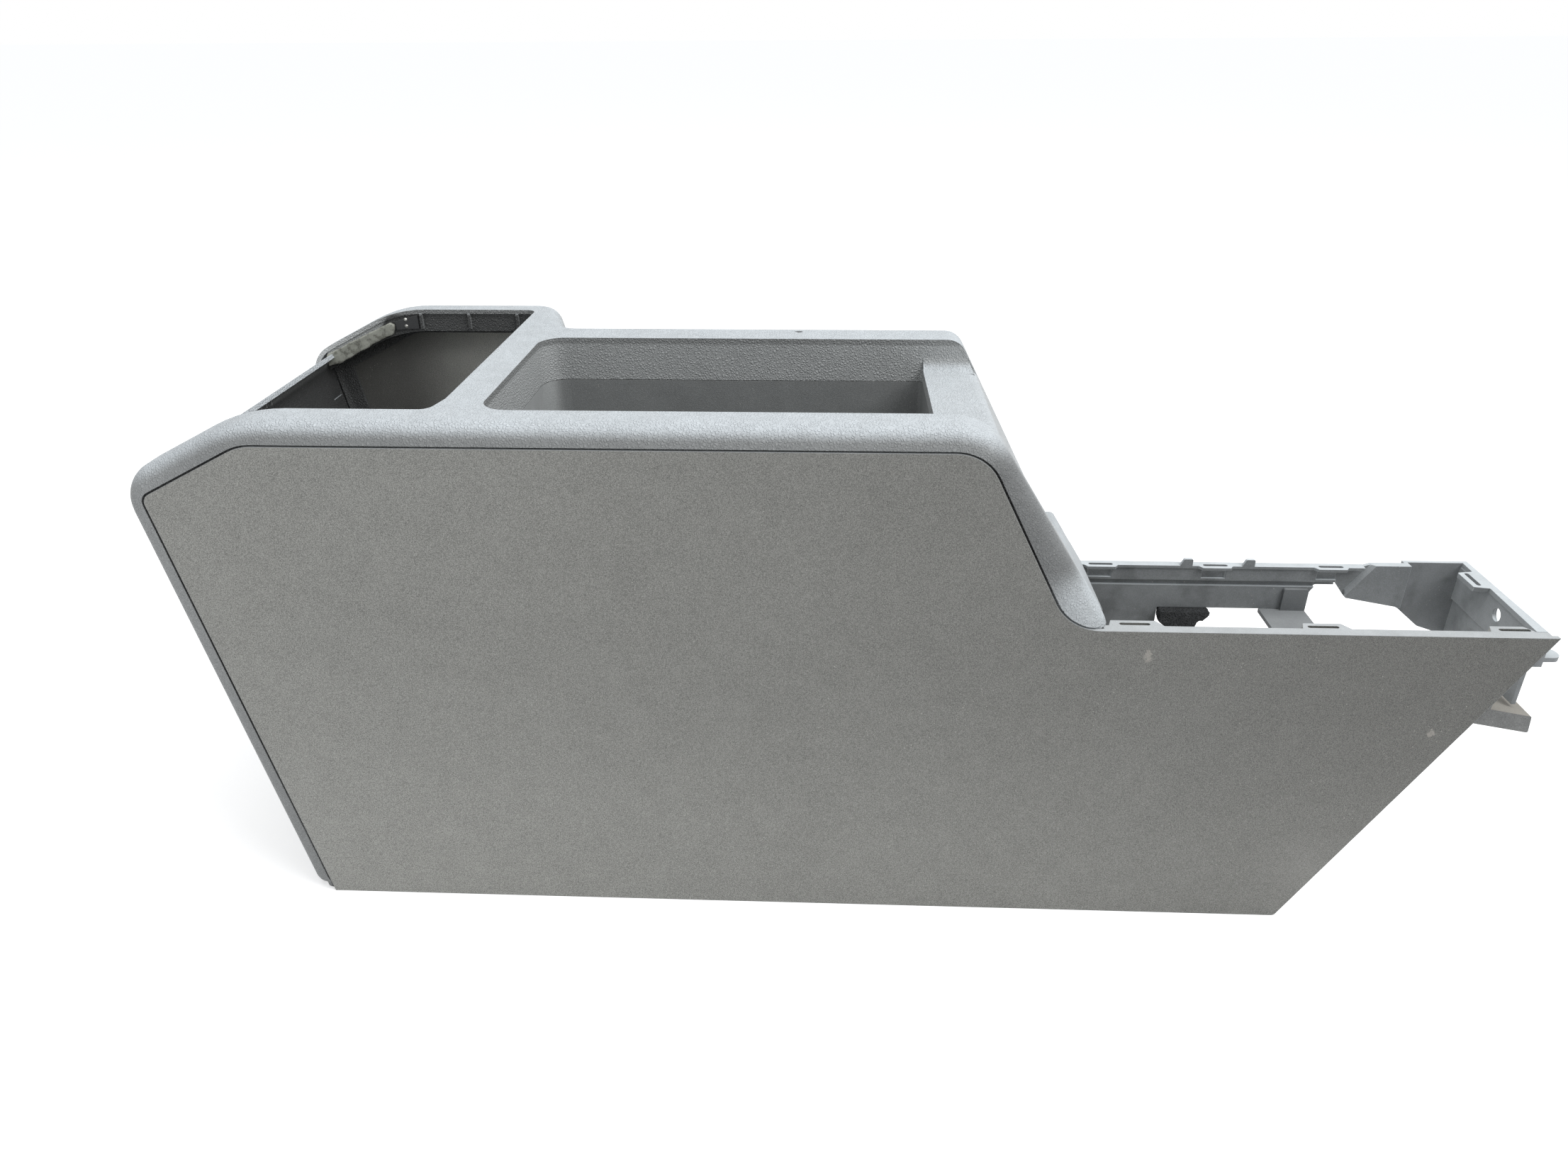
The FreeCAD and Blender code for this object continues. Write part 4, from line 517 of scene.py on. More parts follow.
@dataclass(frozen=True)
class CoverPlastic(MouldedPlastic):
    """Leather grained cover with painted light and shade by region, and a few dark crumbs on its far rim.

    A span says where a region's edge begins and ends, in metres. Stations hang on the rear end of the
    object, places across on its near side and heights on its top.

    Attributes:
        under_rim: Heights from the inside of an opening to its rim.
        rear_end: Stations over which the painted light on the rear end fades out.
        rear_slope: Stations from the sloping rear end to the flat top.
        slope_start: The station where the slope leaves the flat top.
        slope_fall: How much the rim falls for each metre to the rear of that station.
        slope_rim: How much deeper the rim with painted light is along the slope.
        slope_shade_fade: Stations over which the painted shade on the rear slope fades out.
        opening_rear: Stations where the opening's inside turns from the sides to the rear.
        divider: Stations from the rear opening to the divider in front of it.
        collar_rear: Stations where the bin's collar begins.
        collar_front: Stations where it ends.
        collar_turn: The part ahead in the direction of the faces that count as its rear wall.
        near_rim: Places across, from the near roll to the collar.
        lap_skin: Places across, from the near side's skin to the lap behind it.
        lap_back: Places across, where the lap ends.
        lap_turn: The part across in the direction of its outer face, which gets no painted shade.
        shelf_start: Stations from the bin to the shelf in front of it.
        shelf_top: Heights from the shelf to the rims.
        rail_start: Stations where the near front rail begins.
        rail_head: Heights from the rail to the front corner above it.
        rail_foot: Heights from the rail's foot to the rail.
        rail_side: Places across, from the rail to the apron.
        foot_start: Stations where the foot begins.
        foot_side: Places across, from the foot to the apron.
        opening_painted_shade: How much darker the rear opening is inside, as painted shade.
        collar_painted_light: How much lighter the collar is, as painted light.
        collar_rear_painted_light: How much lighter still its rear wall is, as painted light.
        rear_painted_light: How much lighter the rear end is, as painted light.
        slope_painted_light: How much lighter the inner face of the sloping rim is, as painted light.
        lap_painted_shade: How much darker the laps behind the seams are, as painted shade.
        rail_painted_shade: How much darker the near front rail is, as painted shade.
        rail_dust_painted_shade: How much of the dust and painted top light it loses, as painted shade.
        shelf_painted_shade: How much of the dust and painted top light the shelf loses, as painted shade.
        slope_painted_shade: How much of the dust and painted top light the rear slope loses, as painted
            shade.
        foot_painted_light: How much painted light the foot has.
        crumb: The middle of the dark crumbs.
        crumb_colour: Their colour.
        crumbed: How strongly they show.
    """

    under_rim: Span = (TOP - 0.005, TOP - 0.003)
    rear_end: Span = (REAR + 0.0126, REAR + 0.0576)
    rear_slope: Span = (REAR + 0.0526, REAR + 0.0626)
    slope_start: float = REAR + 0.0656
    slope_fall: float = 0.6
    slope_rim: float = 0.006
    slope_shade_fade: Span = (REAR + 0.0576, REAR + 0.0976)
    opening_rear: Span = (REAR + 0.0376, REAR + 0.0576)
    divider: Span = (REAR + 0.1716, REAR + 0.1756)
    collar_rear: Span = (REAR + 0.1756, REAR + 0.1826)
    collar_front: Span = (REAR + 0.5226, REAR + 0.5326)
    collar_turn: Span = (0.2, 0.7)
    near_rim: Span = (NEAR + 0.00975, NEAR + 0.01575)
    lap_skin: Span = (NEAR + 0.00055, NEAR + 0.00115)
    lap_back: Span = (NEAR + 0.00675, NEAR + 0.00775)
    lap_turn: Span = (-0.99, -0.97)
    shelf_start: Span = (REAR + 0.4426, REAR + 0.4526)
    shelf_top: Span = (TOP - 0.011, TOP - 0.005)
    rail_start: Span = (REAR + 0.4596, REAR + 0.4756)
    rail_head: Span = (TOP - 0.023, TOP - 0.010)
    rail_foot: Span = (TOP - 0.098, TOP - 0.078)
    rail_side: Span = (NEAR + 0.01575, NEAR + 0.02575)
    foot_start: Span = (REAR + 0.5026, REAR + 0.5226)
    foot_side: Span = (NEAR + 0.03775, NEAR + 0.04775)
    opening_painted_shade: float = 0.68
    collar_painted_light: float = 0.50
    collar_rear_painted_light: float = 0.25
    rear_painted_light: float = 0.22
    slope_painted_light: float = 0.95
    lap_painted_shade: float = 0.7
    rail_painted_shade: float = 0.38
    rail_dust_painted_shade: float = 0.74
    shelf_painted_shade: float = 0.12
    slope_painted_shade: float = 0.11
    foot_painted_light: float = 0.55
    crumb: Point = (REAR + 0.3668, NEAR + 0.19545, TOP + 0.002)
    crumb_colour: Colour = (0.03, 0.03, 0.032)
    crumbed: float = 0.8

    def toned(self, spot: Spot, tone: Value) -> Value:
        """Paints light and shade onto the cover's regions.

        The rear opening gets painted shade inside, and the bin's collar, the rear end and the sloping
        rear rim get painted light. The laps behind the seams and the near front rail get painted shade.

        Args:
            spot: The point that is shaded.
            tone: The shade so far.

        Returns:
            The shade by region.
        """
        behind = spot.along.falls(self.opening_rear)
        inward = spot.inward().most(spot.ahead.rises(LOOKS_AHEAD) * behind)
        sloping = spot.along.falls(self.rear_slope)
        level = spot.height + (self.slope_start - spot.along).most(0.0) * self.slope_fall
        level = level + sloping * self.slope_rim
        opening = spot.along.falls(self.divider) * level.falls(self.under_rim)
        # Painted shade inside the rear opening
        tone = tone.darker(opening * inward, self.opening_painted_shade)
        # Painted light on the bin's collar, more on its rear wall
        pale = self.collar_painted_light + spot.ahead.rises(self.collar_turn) * self.collar_rear_painted_light
        tone = tone.lighter(self._collar(spot), pale)
        # Painted light on the rear end
        tone = tone.lighter(spot.along.falls(self.rear_end), self.rear_painted_light)
        # Painted light on the inner face of the sloping rim, outside the opening
        tone = tone.lighter(sloping * inward * (1.0 - opening), self.slope_painted_light)
        # Painted shade on the laps behind the seams and on the near front rail
        return tone.darker(self._lap(spot), self.lap_painted_shade).darker(self._rail(spot), self.rail_painted_shade)

    def dusted_and_lit(self, spot: Spot, dust_light_share: Value) -> Value:
        """Takes dust and painted top light off the near front rail, and a little off the shelf above it
        and the rear slope, as painted shade.

        Args:
            spot: The point that is shaded.
            dust_light_share: The dust and painted top light so far.

        Returns:
            The dust and painted top light, with painted light added on the rail's foot.
        """
        # Painted light on the foot of the near front rail
        foot = spot.along.rises(self.foot_start) * spot.height.falls(self.rail_foot)
        foot = foot * spot.across.falls(self.foot_side)
        shelf = spot.along.rises(self.shelf_start) * spot.height.falls(self.shelf_top)
        # Painted shade: the dust and painted top light thin out on the near front rail, the shelf and the
        # rear slope
        shaded_dust_light = dust_light_share.darker(self._rail(spot), self.rail_dust_painted_shade).darker(shelf, self.shelf_painted_shade)
        shaded_dust_light = shaded_dust_light.darker(spot.along.falls(self.slope_shade_fade), self.slope_painted_shade)
        return shaded_dust_light + foot * self.foot_painted_light

    def marked(self, spot: Spot, body: Value) -> Value:
        """Adds the dark crumbs.

        Args:
            spot: The point that is shaded.
            body: The colour without them.

        Returns:
            The colour with them.
        """
        ragged = spot.shader.bent(spot.point, per_metre=900.0, far=0.004)
        crumbs = spot.shader.near(ragged, self.crumb, reach=0.0045).rises(CRUMBS)
        return spot.shader.blend(crumbs * self.crumbed, body, self.crumb_colour)

    def _collar(self, spot: Spot) -> Value:
        """Finds the collar of the bin, below the rims and behind the near one."""
        stretch = spot.along.rises(self.collar_rear) * spot.along.falls(self.collar_front)
        return stretch * (spot.height.falls(self.under_rim) * spot.across.rises(self.near_rim))

    def _lap(self, spot: Spot) -> Value:
        """Finds the lap behind the near seam, apart from the faces that look straight out."""
        depth = spot.across.rises(self.lap_skin) * spot.across.falls(self.lap_back)
        return depth * spot.sideways.falls(self.lap_turn)

    def _rail(self, spot: Spot) -> Value:
        """Finds the near front rail, apart from its foot."""
        tall = spot.height.falls(self.rail_head) * spot.height.rises(self.rail_foot)
        return spot.along.rises(self.rail_start) * tall * spot.across.falls(self.rail_side)


@dataclass(frozen=True)
class PanelPlastic(MouldedPlastic):
    """Fine grained side panel with painted shade that darkens it to the front, painted light on its lower
    part, painted light and shade on its inner face, and two scuffs and a dull patch.

    Attributes:
        middle_level: The shade at the middle of the object's length.
        fall: How much the painted shade darkens the outer face for each metre to the front.
        low: Heights over which the painted light on the lower part ends.
        low_painted_light: How much lighter that part is, as painted light.
        rear_inside: Stations from the painted shade at the rear end of the inner face to the painted
            light on its rest.
        inside_shade_level: The tone of that rear end, as painted shade.
        inside_painted_light: How much lighter the rest is, as painted light.
        tall_scuff: The middle of the scuff under the front slope.
        tall_shape: How the point is squeezed there, which makes the scuff taller than wide.
        front_scuff: The middle of the scuff near the front edge.
        dull_patch: The middle of the dull patch.
        scuffed: How strongly the scuffs show.
        scuff_colour: Their colour.
        dulled: How strongly the dull patch shows.
        dull_colour: Its colour.
    """

    middle_level: float = 0.86
    fall: float = 0.91
    low: Span = (0.0, 0.2)
    low_painted_light: float = 0.26
    rear_inside: Span = (REAR + 0.0576, REAR + 0.1576)
    inside_shade_level: float = 0.55
    inside_painted_light: float = 2.4
    tall_scuff: Point = (REAR + 0.5698, NEAR + 0.00255, 0.1931)
    tall_shape: Point = (1.0, 1.0, 0.45)
    front_scuff: Point = (REAR + 0.7375, NEAR + 0.00255, 0.1443)
    dull_patch: Point = (REAR + 0.6873, NEAR + 0.00075, 0.0393)
    scuffed: float = 0.35
    scuff_colour: Colour = (0.50, 0.47, 0.42)
    dulled: float = 0.12
    dull_colour: Colour = (0.45, 0.44, 0.42)

    def toned(self, spot: Spot, tone: Value) -> Value:
        """Paints shade on the outer face from rear to front and light on its lower part, and paints light
        and shade on the inner face on its own.

        Args:
            spot: The point that is shaded.
            tone: The shade so far.

        Returns:
            The shade by region.
        """
        # Painted shade towards the front of the outer face
        outside = self.middle_level - spot.along * self.fall
        # Painted light on the lower part of the outer face
        outside = outside + spot.height.falls(self.low) * self.low_painted_light
        # Painted shade at the rear end of the inner face, painted light on the rest
        inside = self.inside_shade_level + spot.along.rises(self.rear_inside) * self.inside_painted_light
        inward = spot.inward()
        return tone * (outside * (1.0 - inward) + inside * inward)

    def marked(self, spot: Spot, body: Value) -> Value:
        """Adds the scuffs and the dull patch.

        Args:
            spot: The point that is shaded.
            body: The colour without them.

        Returns:
            The colour with them.
        """
        shader = spot.shader
        ragged = shader.bent(spot.point, per_metre=500.0, far=0.005)
        middle = tuple(part * squeeze for part, squeeze in zip(self.tall_scuff, self.tall_shape))
        tall = shader.near(shader.stretched(ragged, self.tall_shape), middle, reach=0.0042)
        front = shader.near(ragged, self.front_scuff, reach=0.0046)
        scuffs = (tall.rises(SCUFFS) + front.rises(SCUFFS)) * self.scuffed
        body = shader.blend(scuffs, body, self.scuff_colour)
        dull = shader.near(spot.point, self.dull_patch, reach=0.04)
        return shader.blend(dull * self.dulled, body, self.dull_colour)


@dataclass(frozen=True)
class FramePlastic(MouldedPlastic):
    """Smooth and stained frame plastic, with painted light on the faces that look to the rear.

    Attributes:
        behind_turn: The part ahead in the direction of the faces that look to the rear.
        behind_painted_light: How much lighter those faces are, as painted light.
        clean_level: The shade between the stains.
        stained: How much darker the stains are.
    """

    behind_turn: Span = (-0.8, -0.3)
    behind_painted_light: float = 0.85
    clean_level: float = 1.04
    stained: float = 0.28

    def toned(self, spot: Spot, tone: Value) -> Value:
        """Paints light on the faces that look to the rear, and stains all of them.

        Args:
            spot: The point that is shaded.
            tone: The shade so far.

        Returns:
            The shade by region.
        """
        stains = spot.shader.noise(spot.point, per_metre=38.0, detail=3.0, rough=0.6).rises(STAINS)
        # Painted light on the faces that look to the rear
        behind = spot.ahead.falls(self.behind_turn)
        return tone.lighter(behind, self.behind_painted_light) * (self.clean_level - stains * self.stained)


@dataclass(frozen=True)
class TubPlastic(MouldedPlastic):
    """Grained tub plastic, with painted light on its rear wall.

    Attributes:
        wall_turn: The part ahead in the direction of that wall.
        rear_wall_painted_light: How much lighter it is, as painted light.
    """

    wall_turn: Span = (0.3, 0.8)
    rear_wall_painted_light: float = 0.8

    def toned(self, spot: Spot, tone: Value) -> Value:
        """Paints light on the wall that looks ahead."""
        return tone.lighter(spot.ahead.rises(self.wall_turn), self.rear_wall_painted_light)


@dataclass(frozen=True)
class InnerRearPlastic(MouldedPlastic):
    """Cover plastic of the rear panel, with painted shade where it looks into the rear opening.

    Attributes:
        curl: Heights from the inner face to the curled edge above it.
        curl_end: Heights from the underside of that edge to its end face.
        inner_turn: The part ahead in the direction of the inner face.
        inside_painted_shade: How much darker the inner face is, as painted shade.
        edge_painted_light: How much painted light the end of the curled edge has.
    """

    curl: Span = (TOP - 0.0455, TOP - 0.0405)
    curl_end: Span = (TOP - 0.0380, TOP - 0.0355)
    inner_turn: Span = (0.05, 0.3)
    inside_painted_shade: float = 0.72
    edge_painted_light: float = 0.7

    def toned(self, spot: Spot, tone: Value) -> Value:
        """Paints shade on the inner face."""
        return tone.darker(self._inside(spot), self.inside_painted_shade)

    def dusted_and_lit(self, spot: Spot, dust_light_share: Value) -> Value:
        """Keeps the dust and painted top light off the inner face, as painted shade, and paints light on
        the end of the curled edge.
        """
        # Painted light on the end of the curled edge, which looks ahead
        lit_curl_end = spot.ahead.rises(LOOKS_AHEAD) * spot.height.rises(self.curl_end)
        return dust_light_share * (1.0 - self._inside(spot)) + lit_curl_end * self.edge_painted_light

    def _inside(self, spot: Spot) -> Value:
        """Finds the faces that look ahead, below the curled edge."""
        return spot.ahead.rises(self.inner_turn) * spot.height.falls(self.curl)


@dataclass(frozen=True)
class Felt:
    """Pressed felt, pale and fluffy, with darker torn patches and a painted highlight on its pale hair
    ends.

    Attributes:
        name: The material's name.
        colour: The felt.
        torn: The torn patches.
        hair_and_highlight: The pale ends of its hairs, with a painted highlight.
    """

    name: str
    colour: Colour
    torn: Colour
    hair_and_highlight: Colour

    def material(self) -> bpy.types.Material:
        """Builds the material.

        Returns:
            The finished material.
        """
        shader = Shader(self.name)
        point = shader.place()
        lying = shader.stretched(point, (1.0, 1.0, 2.4))
        hairs = shader.noise(lying, per_metre=1100.0, detail=4.0, rough=0.7)
        patches = shader.noise(point, per_metre=190.0, detail=4.0, rough=0.65).rises(TORN)
        body = shader.blend(patches, self.colour, self.torn)
        # Pale hair ends with a painted highlight
        body = shader.blend(hairs.swing(1.1, middle=0.42), body, self.hair_and_highlight)
        normal = shader.relief(hairs, deep=0.0006, strength=0.9)
        return shader.surface({"Base Color": body, "Roughness": 0.95 - patches * 0.08, "Normal": normal})


@dataclass(frozen=True)
class Foam:
    """Black open foam with pits, which hold painted shade.

    Attributes:
        name: The material's name.
        colour: The foam in its pits, darkest there as painted shade.
    """

    name: str
    colour: Colour

    def material(self) -> bpy.types.Material:
        """Builds the material.

        Returns:
            The finished material.
        """
        shader = Shader(self.name)
        point = shader.place()
        pits = shader.cells(point, per_metre=900.0).rises(PITS)
        crumbs = shader.noise(point, per_metre=300.0, detail=4.0, rough=0.7)
        # The pits keep the darkest colour as painted shade; the walls between them turn paler where the
        # noise is high
        pale = tuple(part * 3.0 + 0.02 for part in self.colour)
        body = shader.blend(crumbs * pits, self.colour, pale)
        coarse = shader.relief(crumbs, deep=0.001, strength=0.6)
        normal = shader.relief(pits, deep=0.0008, strength=0.9, under=coarse)
        return shader.surface({"Base Color": body, "Roughness": 0.9 + crumbs * 0.1, "Normal": normal})


@dataclass(frozen=True)
class PlatedSteel:
    """Plated steel with fine scratches and dull patches.

    Attributes:
        name: The material's name.
        colour: The clean metal.
        roughness: The roughness of the clean metal.
    """

    name: str
    colour: Colour
    roughness: float = 0.35

    def material(self) -> bpy.types.Material:
        """Builds the material.

        Returns:
            The finished material.
        """
        shader = Shader(self.name)
        point = shader.place()
        dull = shader.noise(point, per_metre=500.0, detail=4.0, rough=0.6)
        scratches = shader.noise(shader.stretched(point, (1.0, 9.0, 1.0)), per_metre=1800.0)
        darker = tuple(part * 0.6 for part in self.colour)
        body = shader.blend(dull.rises(DULL), self.colour, darker)
        rough = self.roughness + dull * 0.25
        normal = shader.relief(scratches, deep=0.00005, strength=0.5)
        return shader.surface({"Base Color": body, "Metallic": 1.0, "Roughness": rough, "Normal": normal})


def dress(node: str, material: bpy.types.Material) -> None:
    """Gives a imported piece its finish.

    Args:
        node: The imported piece's name.
        material: The finish.
    """
    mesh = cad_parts[node].data
    mesh.materials.clear()
    mesh.materials.append(material)


@dataclass(frozen=True)
class RaggedPiece:
    """A soft piece modelled over its plain solid, with a torn and uneven surface.

    Attributes:
        node: The solid that it stands for.
        name: Its own name.
        slot: The record's material slot; not used.
        voxel: The size of its mesh's cells, in metres.
        rough: How uneven it is, in metres.
        cloud: The size of its lumps, in metres.
        level: The height in the clouds that stays where the solid's surface is.
    """

    node: str
    name: str
    slot: str
    voxel: float
    rough: float
    cloud: float
    level: float = 0.62

    def build(self, material: bpy.types.Material) -> bpy.types.Object:
        """Models the piece from its solid.

        Args:
            material: The finish.

        Returns:
            The piece.
        """
        piece = self._copy_of_solid()
        clouds = bpy.data.textures.new(self.name + "_clouds", "CLOUDS")
        clouds.noise_scale = self.cloud
        clouds.noise_depth = 3
        self._add("REMESH", {"mode": "VOXEL", "voxel_size": self.voxel})
        self._add("DISPLACE", {"texture": clouds, "strength": self.rough, "mid_level": self.level})
        self._add("SMOOTH", {"factor": 0.4, "iterations": 2})
        bpy.ops.object.shade_smooth()
        piece.data.materials.clear()
        piece.data.materials.append(material)
        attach(piece, "root")
        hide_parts(self.node)
        LOG.info("%s modelled", self.name)
        return piece

    def _copy_of_solid(self) -> bpy.types.Object:
        """Adds the piece, with a copy of the solid's mesh.

        Returns:
            The piece, selected and active.
        """
        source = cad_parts[self.node]
        bpy.ops.object.select_all(action="DESELECT")
        bpy.ops.mesh.primitive_cube_add(size=0.01)
        piece = bpy.context.object
        piece.name = self.name
        cube = piece.data
        piece.data = source.data.copy()
        piece.data.transform(source.matrix_world)
        bpy.data.meshes.remove(cube)
        return piece

    @staticmethod
    def _add(kind: str, settings: dict) -> None:
        """Adds a modifier to the active piece and applies it.

        Args:
            kind: The modifier's type.
            settings: Its settings, by name.
        """
        piece = bpy.context.object
        bpy.ops.object.modifier_add(type=kind)
        modifier = piece.modifiers[-1]
        for key, value in settings.items():
            setattr(modifier, key, value)
        bpy.ops.object.modifier_apply(modifier=modifier.name)


# The look that the cover and the rear panel share
SHELL_LOOK = {
    "colour": srgb(142, 144, 144), "dust_light_colour": srgb(202, 208, 212), "grain": Grain.LEATHER,
    "grain_deep": 0.00055, "roughness": 0.56, "dust_and_top_light": 0.9, "settles_and_lit": (0.28, 0.84),
    "speckle": 0.22, "cloud": 0.10, "edge_pale": 0.2,
}


@dataclass
class GreyShell:
    """The visible grey mouldings: cover, side panels, rear panel and the apron plate."""

    cover: CoverPlastic = CoverPlastic("grained_cover", **SHELL_LOOK)
    rear: InnerRearPlastic = InnerRearPlastic("grained_rear", **SHELL_LOOK)
    apron: MouldedPlastic = MouldedPlastic(
        "grained_apron", srgb(144, 146, 146), srgb(186, 191, 194), Grain.LEATHER, grain_deep=0.0003,
        roughness=0.56, dust_and_top_light=0.85, settles_and_lit=(0.15, 0.6))
    panels: PanelPlastic = PanelPlastic(
        "warm_panel", srgb(136, 136, 132), srgb(190, 194, 196), Grain.FINE, grain_deep=0.00014,
        roughness=0.64, settles_and_lit=(0.3, 0.9), speckle=1.0, cloud=0.14, edge_pale=0.5, edge_radius=0.0008)

    def build(self) -> None:
        """Dresses the cover and the panels."""
        dress("upper_cover", self.cover.material())
        dress("rear_panel", self.rear.material())
        dress("apron_plate", self.apron.material())
        panel = self.panels.material()
        for node in ("passenger_side_panel", "driver_side_panel"):
            dress(node, panel)
        LOG.info("grey shell dressed")


@dataclass
class StorageBin:
    """The tub under the bin opening."""

    finish: TubPlastic = TubPlastic(
        "dusty_lit_tub", srgb(128, 130, 130), srgb(136, 136, 133), Grain.FINE,
        roughness=0.66, dust_and_top_light=0.5, settles_and_lit=(0.2, 0.9), speckle=0.4, cloud=0.2)

    def build(self) -> None:
        """Dresses the tub."""
        dress("bin_tub", self.finish.material())
        LOG.info("storage bin dressed")


@dataclass
class OpenChannel:
    """The frame pieces of the open channel in front of the bin."""

    frame_finish: FramePlastic = FramePlastic(
        "channel_frame", srgb(123, 126, 128), srgb(205, 211, 214), Grain.SMOOTH, grain_deep=0.0001,
        roughness=0.52, settles_and_lit=(0.3, 0.9), speckle=0.35, cloud=0.3, edge_pale=0.55, edge_radius=0.0006)
    strap_finish: MouldedPlastic = MouldedPlastic(
        "grey_strap", srgb(108, 111, 113), srgb(150, 153, 154), Grain.SMOOTH, grain_deep=0.0001,
        roughness=0.58, dust_and_top_light=0.6, settles_and_lit=(0.2, 0.9), speckle=0.35, cloud=0.3, edge_pale=0.4)
    foot_finish: MouldedPlastic = MouldedPlastic(
        "dusty_lit_foot", srgb(122, 123, 122), srgb(158, 154, 146), Grain.SMOOTH,
        roughness=0.75, settles_and_lit=(0.2, 0.9), speckle=0.5, cloud=0.6, edge_pale=0.4)

    def build(self) -> None:
        """Dresses the channel's frame, strap and foot."""
        finish = self.frame_finish.material()
        for node in ("channel_rail", "front_frame"):
            dress(node, finish)
        dress("channel_strap", self.strap_finish.material())
        dress("foot_bracket", self.foot_finish.material())
        LOG.info("open channel dressed")


@dataclass
class SmallPieces:
    """Felt, foam, latch plate, rivets and screws."""

    felt: Felt = Felt("torn_felt", srgb(168, 170, 160), srgb(118, 119, 110), (0.60, 0.60, 0.54))
    foam: Foam = Foam("black_foam", (0.013, 0.014, 0.015))
    latch: MouldedPlastic = MouldedPlastic(
        "latch_black", srgb(66, 67, 68), srgb(110, 112, 112), Grain.SMOOTH, grain_deep=0.00005,
        roughness=0.5, dust_and_top_light=0.3)
    steel: PlatedSteel = PlatedSteel("plated_screws", (0.62, 0.62, 0.59))
    felt_piece: RaggedPiece = RaggedPiece(
        "felt_strip", "felt_fluff", "felt", voxel=0.0007, rough=0.0016, cloud=0.007)
    foam_piece: RaggedPiece = RaggedPiece(
        "foam_pad", "foam_block", "foam_rubber", voxel=0.0009, rough=0.0022, cloud=0.006)

    def build(self) -> None:
        """Models the soft pieces and dresses the hard ones."""
        self.felt_piece.build(self.felt.material())
        block = self.foam_piece.build(self.foam.material())
        dress("latch_plate", self.latch.material())
        for node in ("latch_rivets", "trim_screws"):
            dress(node, self.steel.material())
        LOG.info("small pieces dressed")


@dataclass(frozen=True)
class Lamp:
    """One soft round lamp.

    Attributes:
        name: The lamp's name.
        place: Where it hangs.
        aim: The point that it faces.
        width: Its width, in metres.
        power: Its strength, in watts.
    """

    name: str
    place: Point
    aim: Point
    width: float
    power: float

    def build(self) -> None:
        """Hangs the lamp and turns it to its aim."""
        data = bpy.data.lights.new(self.name, "AREA")
        data.shape = "DISK"
        data.size = self.width
        data.energy = self.power
        lamp = bpy.data.objects.new(self.name, data)
        lamp.location = self.place
        lamp.rotation_euler = (Vector(self.aim) - Vector(self.place)).to_track_quat("-Z", "Y").to_euler()
        bpy.context.scene.collection.objects.link(lamp)


@dataclass(frozen=True)
class PhotoCamera:
    """A camera where the photograph was taken.

    Attributes:
        place: Where it stands, in metres.
        yaw: How far it is turned to the right, in degrees.
        pitch: How far it looks down, in degrees.
        roll: How far its picture is turned, in degrees.
        focal_pixels: Its focal length, in pixels of the photograph.
    """

    place: Point = (-0.009921, -0.674035, 0.50985)
    yaw: float = -2.664
    pitch: float = 27.520
    roll: float = 0.368
    focal_pixels: float = 1545.05

    def build(self) -> None:
        """Stands the camera and makes it the scene's."""
        data = bpy.data.cameras.new("photo_camera")
        data.sensor_width = FILM_WIDE
        data.lens = self.focal_pixels / IMAGE_WIDE * FILM_WIDE
        data.clip_start = 0.02
        data.clip_end = 100.0
        camera = bpy.data.objects.new("photo_camera", data)
        camera.matrix_world = Matrix.Translation(Vector(self.place)) @ self._turn()
        bpy.context.scene.collection.objects.link(camera)
        bpy.context.scene.camera = camera

    def _turn(self) -> Matrix:
        """Works out which way the camera is turned.

        Returns:
            Its turn, whose columns are the picture's right, its up and the way back from the object.
        """
        yaw, pitch, roll = (math.radians(angle) for angle in (self.yaw, self.pitch, self.roll))
        flat = math.cos(pitch)
        ahead = Vector((math.sin(yaw) * flat, math.cos(yaw) * flat, -math.sin(pitch)))
        level = Vector((math.cos(yaw), -math.sin(yaw), 0.0))
        below = ahead.cross(level)
        right = level * math.cos(roll) + below * math.sin(roll)
        down = below * math.cos(roll) - level * math.sin(roll)
        columns = (right, -down, -ahead)
        return Matrix([[column[row] for column in columns] for row in range(3)]).to_4x4()


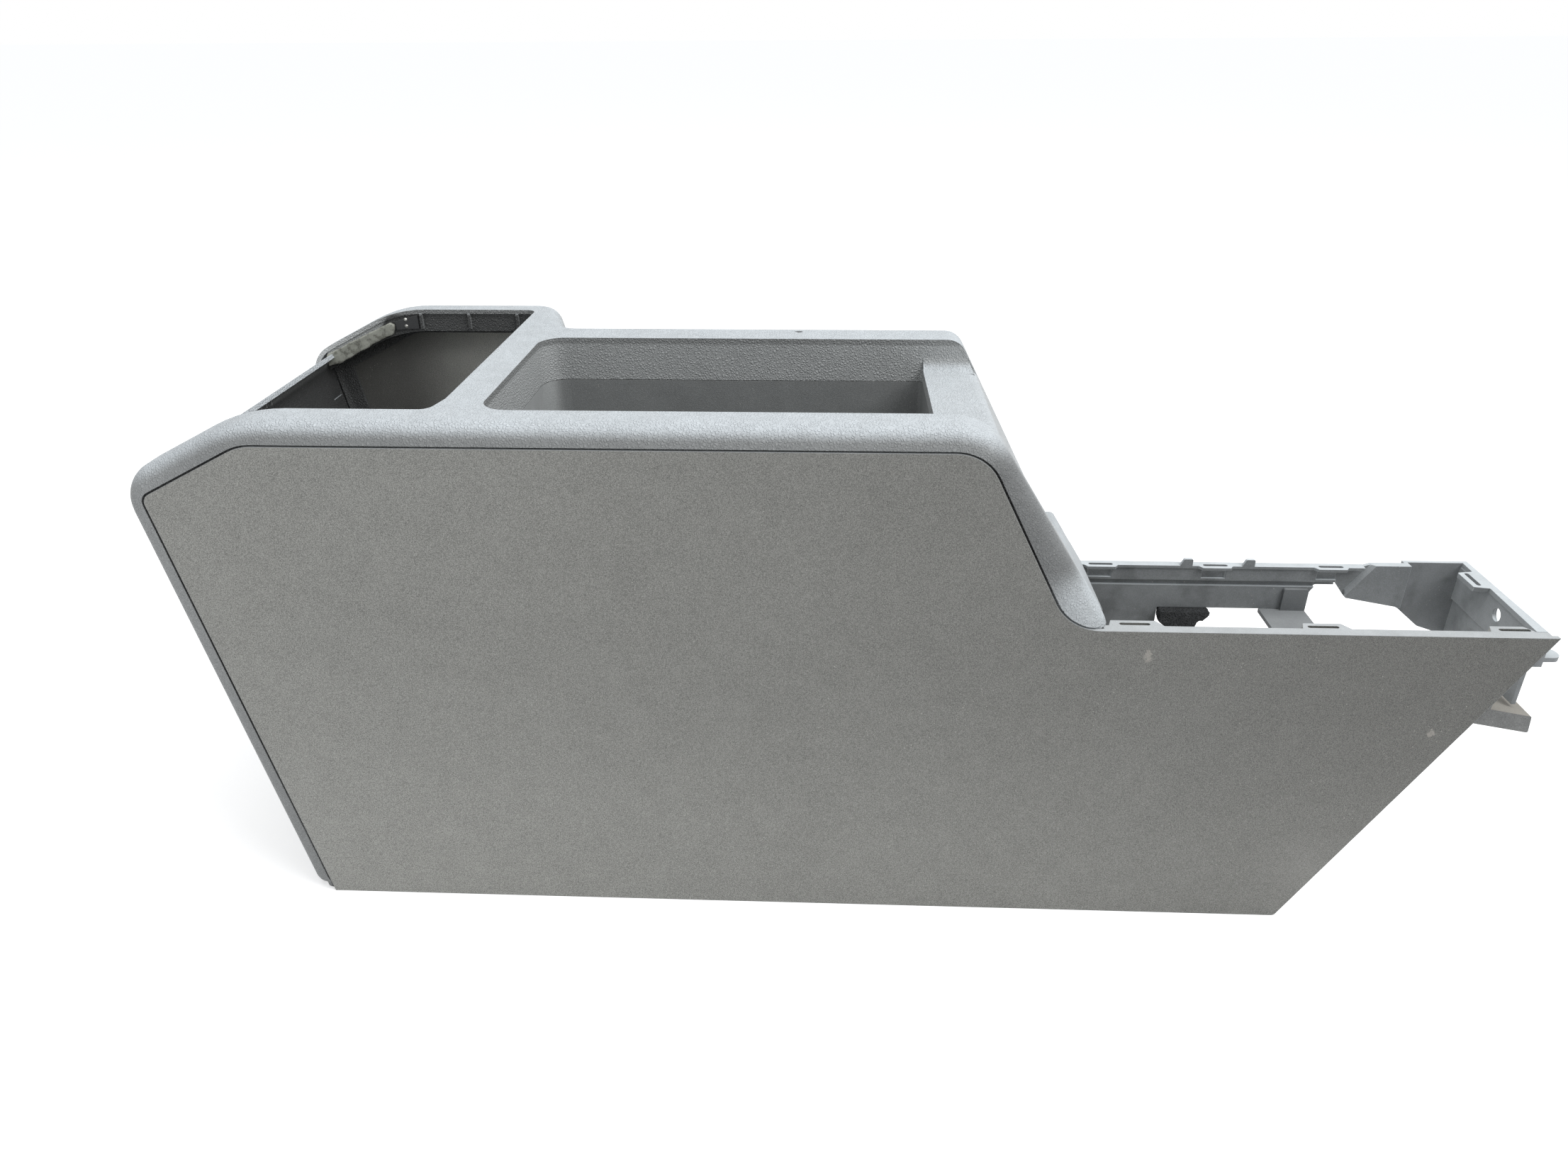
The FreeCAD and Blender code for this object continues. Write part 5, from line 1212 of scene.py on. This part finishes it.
@dataclass
class Studio:
    """White floor, white surroundings, soft light and the camera.

    Attributes:
        camera: The camera.
        lamps: The lamps.
        sky_colour: The colour of the even light from all round.
        sky_level: The strength of that light.
        floor_wide: The width of the floor, in metres.
        floor_gap: How far the floor lies below the object, in metres.
        floor_dark: The darker specks of the floor near the object.
        floor_pale: The paler specks of it.
        floor_far: The floor far from the object.
        floor_fade: How far the near floor reaches, in metres.
        floor_glow: What the floor adds to what the eye sees of it, so that only the shadow shows.
    """

    camera: PhotoCamera = PhotoCamera()
    lamps: tuple[Lamp, ...] = (
        Lamp("overhead_light", place=(0.0, 0.0, 2.2), aim=(0.0, 0.0, 0.0), width=2.2, power=19.0),
        Lamp("front_light", place=(1.45, -1.0, 1.9), aim=(0.0, 0.0, 0.2), width=1.3, power=26.0),
    )
    sky_colour: Colour = (0.96, 0.98, 1.0)
    sky_level: float = 0.56
    floor_wide: float = 60.0
    floor_gap: float = 0.0002
    floor_dark: Colour = (0.83, 0.83, 0.83)
    floor_pale: Colour = (0.85, 0.85, 0.85)
    floor_far: Colour = (0.97, 0.97, 0.97)
    floor_fade: float = 4.0
    floor_glow: float = 0.46

    def build(self) -> None:
        """Sets the camera, the floor, the world and the lamps."""
        self.camera.build()
        self._floor()
        self._world()
        for lamp in self.lamps:
            lamp.build()
        bpy.context.scene.view_settings.view_transform = "Standard"
        LOG.info("studio set")

    def _floor(self) -> None:
        """Lays a wide white floor, which the camera sees as white apart from the object's shadow."""
        bpy.ops.object.select_all(action="DESELECT")
        bpy.ops.mesh.primitive_plane_add(size=self.floor_wide, location=(0.0, 0.0, -self.floor_gap))
        floor = bpy.context.object
        floor.name = "studio_floor"
        shader = Shader("white_floor")
        point = shader.place()
        specks = shader.noise(point, per_metre=40.0)
        colour = shader.blend(specks, self.floor_dark, self.floor_pale)
        near_by = shader.near(point, (0.0, 0.0, 0.0), reach=self.floor_fade)
        colour = shader.blend(near_by, self.floor_far, colour)
        matt = shader.node("ShaderNodeBsdfDiffuse", None, {"Color": colour}).out("BSDF")
        sockets = {"Color": WHITE, "Strength": self.floor_glow}
        glow = shader.node("ShaderNodeEmission", None, sockets).out("Emission")
        both = shader.node("ShaderNodeAddShader", None, {0: matt, 1: glow}).out("Shader")
        self._end(shader, matt, both, "ShaderNodeOutputMaterial")
        floor.data.materials.append(shader.owner)

    def _world(self) -> None:
        """Makes the surroundings white for the eye and even for the light."""
        world = bpy.data.worlds.new("white_room")
        bpy.context.scene.world = world
        shader = Shader("white_room", world)
        even = {"Color": self.sky_colour, "Strength": self.sky_level}
        lit = shader.node("ShaderNodeBackground", None, even).out("Background")
        sockets = {"Color": WHITE, "Strength": 1.0}
        white = shader.node("ShaderNodeBackground", None, sockets).out("Background")
        self._end(shader, lit, white, "ShaderNodeOutputWorld")

    @staticmethod
    def _end(shader: Shader, lit: Value, seen: Value, output: str) -> None:
        """Ends the nodes with one look for the light and another for the eye, mirrors and glass.

        Args:
            shader: The shader to end.
            lit: What the light meets.
            seen: What the camera, mirrored rays and rays through glass meet.
            output: The type of the output node.
        """
        path = shader.node("ShaderNodeLightPath")
        mirrored = path.out("Is Glossy Ray").most(path.out("Is Transmission Ray"))
        eye = path.out("Is Camera Ray").most(mirrored)
        mixed = shader.node("ShaderNodeMixShader", None, {0: eye, 1: lit, 2: seen}).out("Shader")
        shader.node(output, None, {"Surface": mixed})


def main() -> None:
    """Builds the studio and dresses every piece of the console."""
    logging.basicConfig(level=logging.INFO)
    for part in (Studio(), GreyShell(), StorageBin(), OpenChannel(), SmallPieces()):
        part.build()


if __name__ == "__main__":
    main()
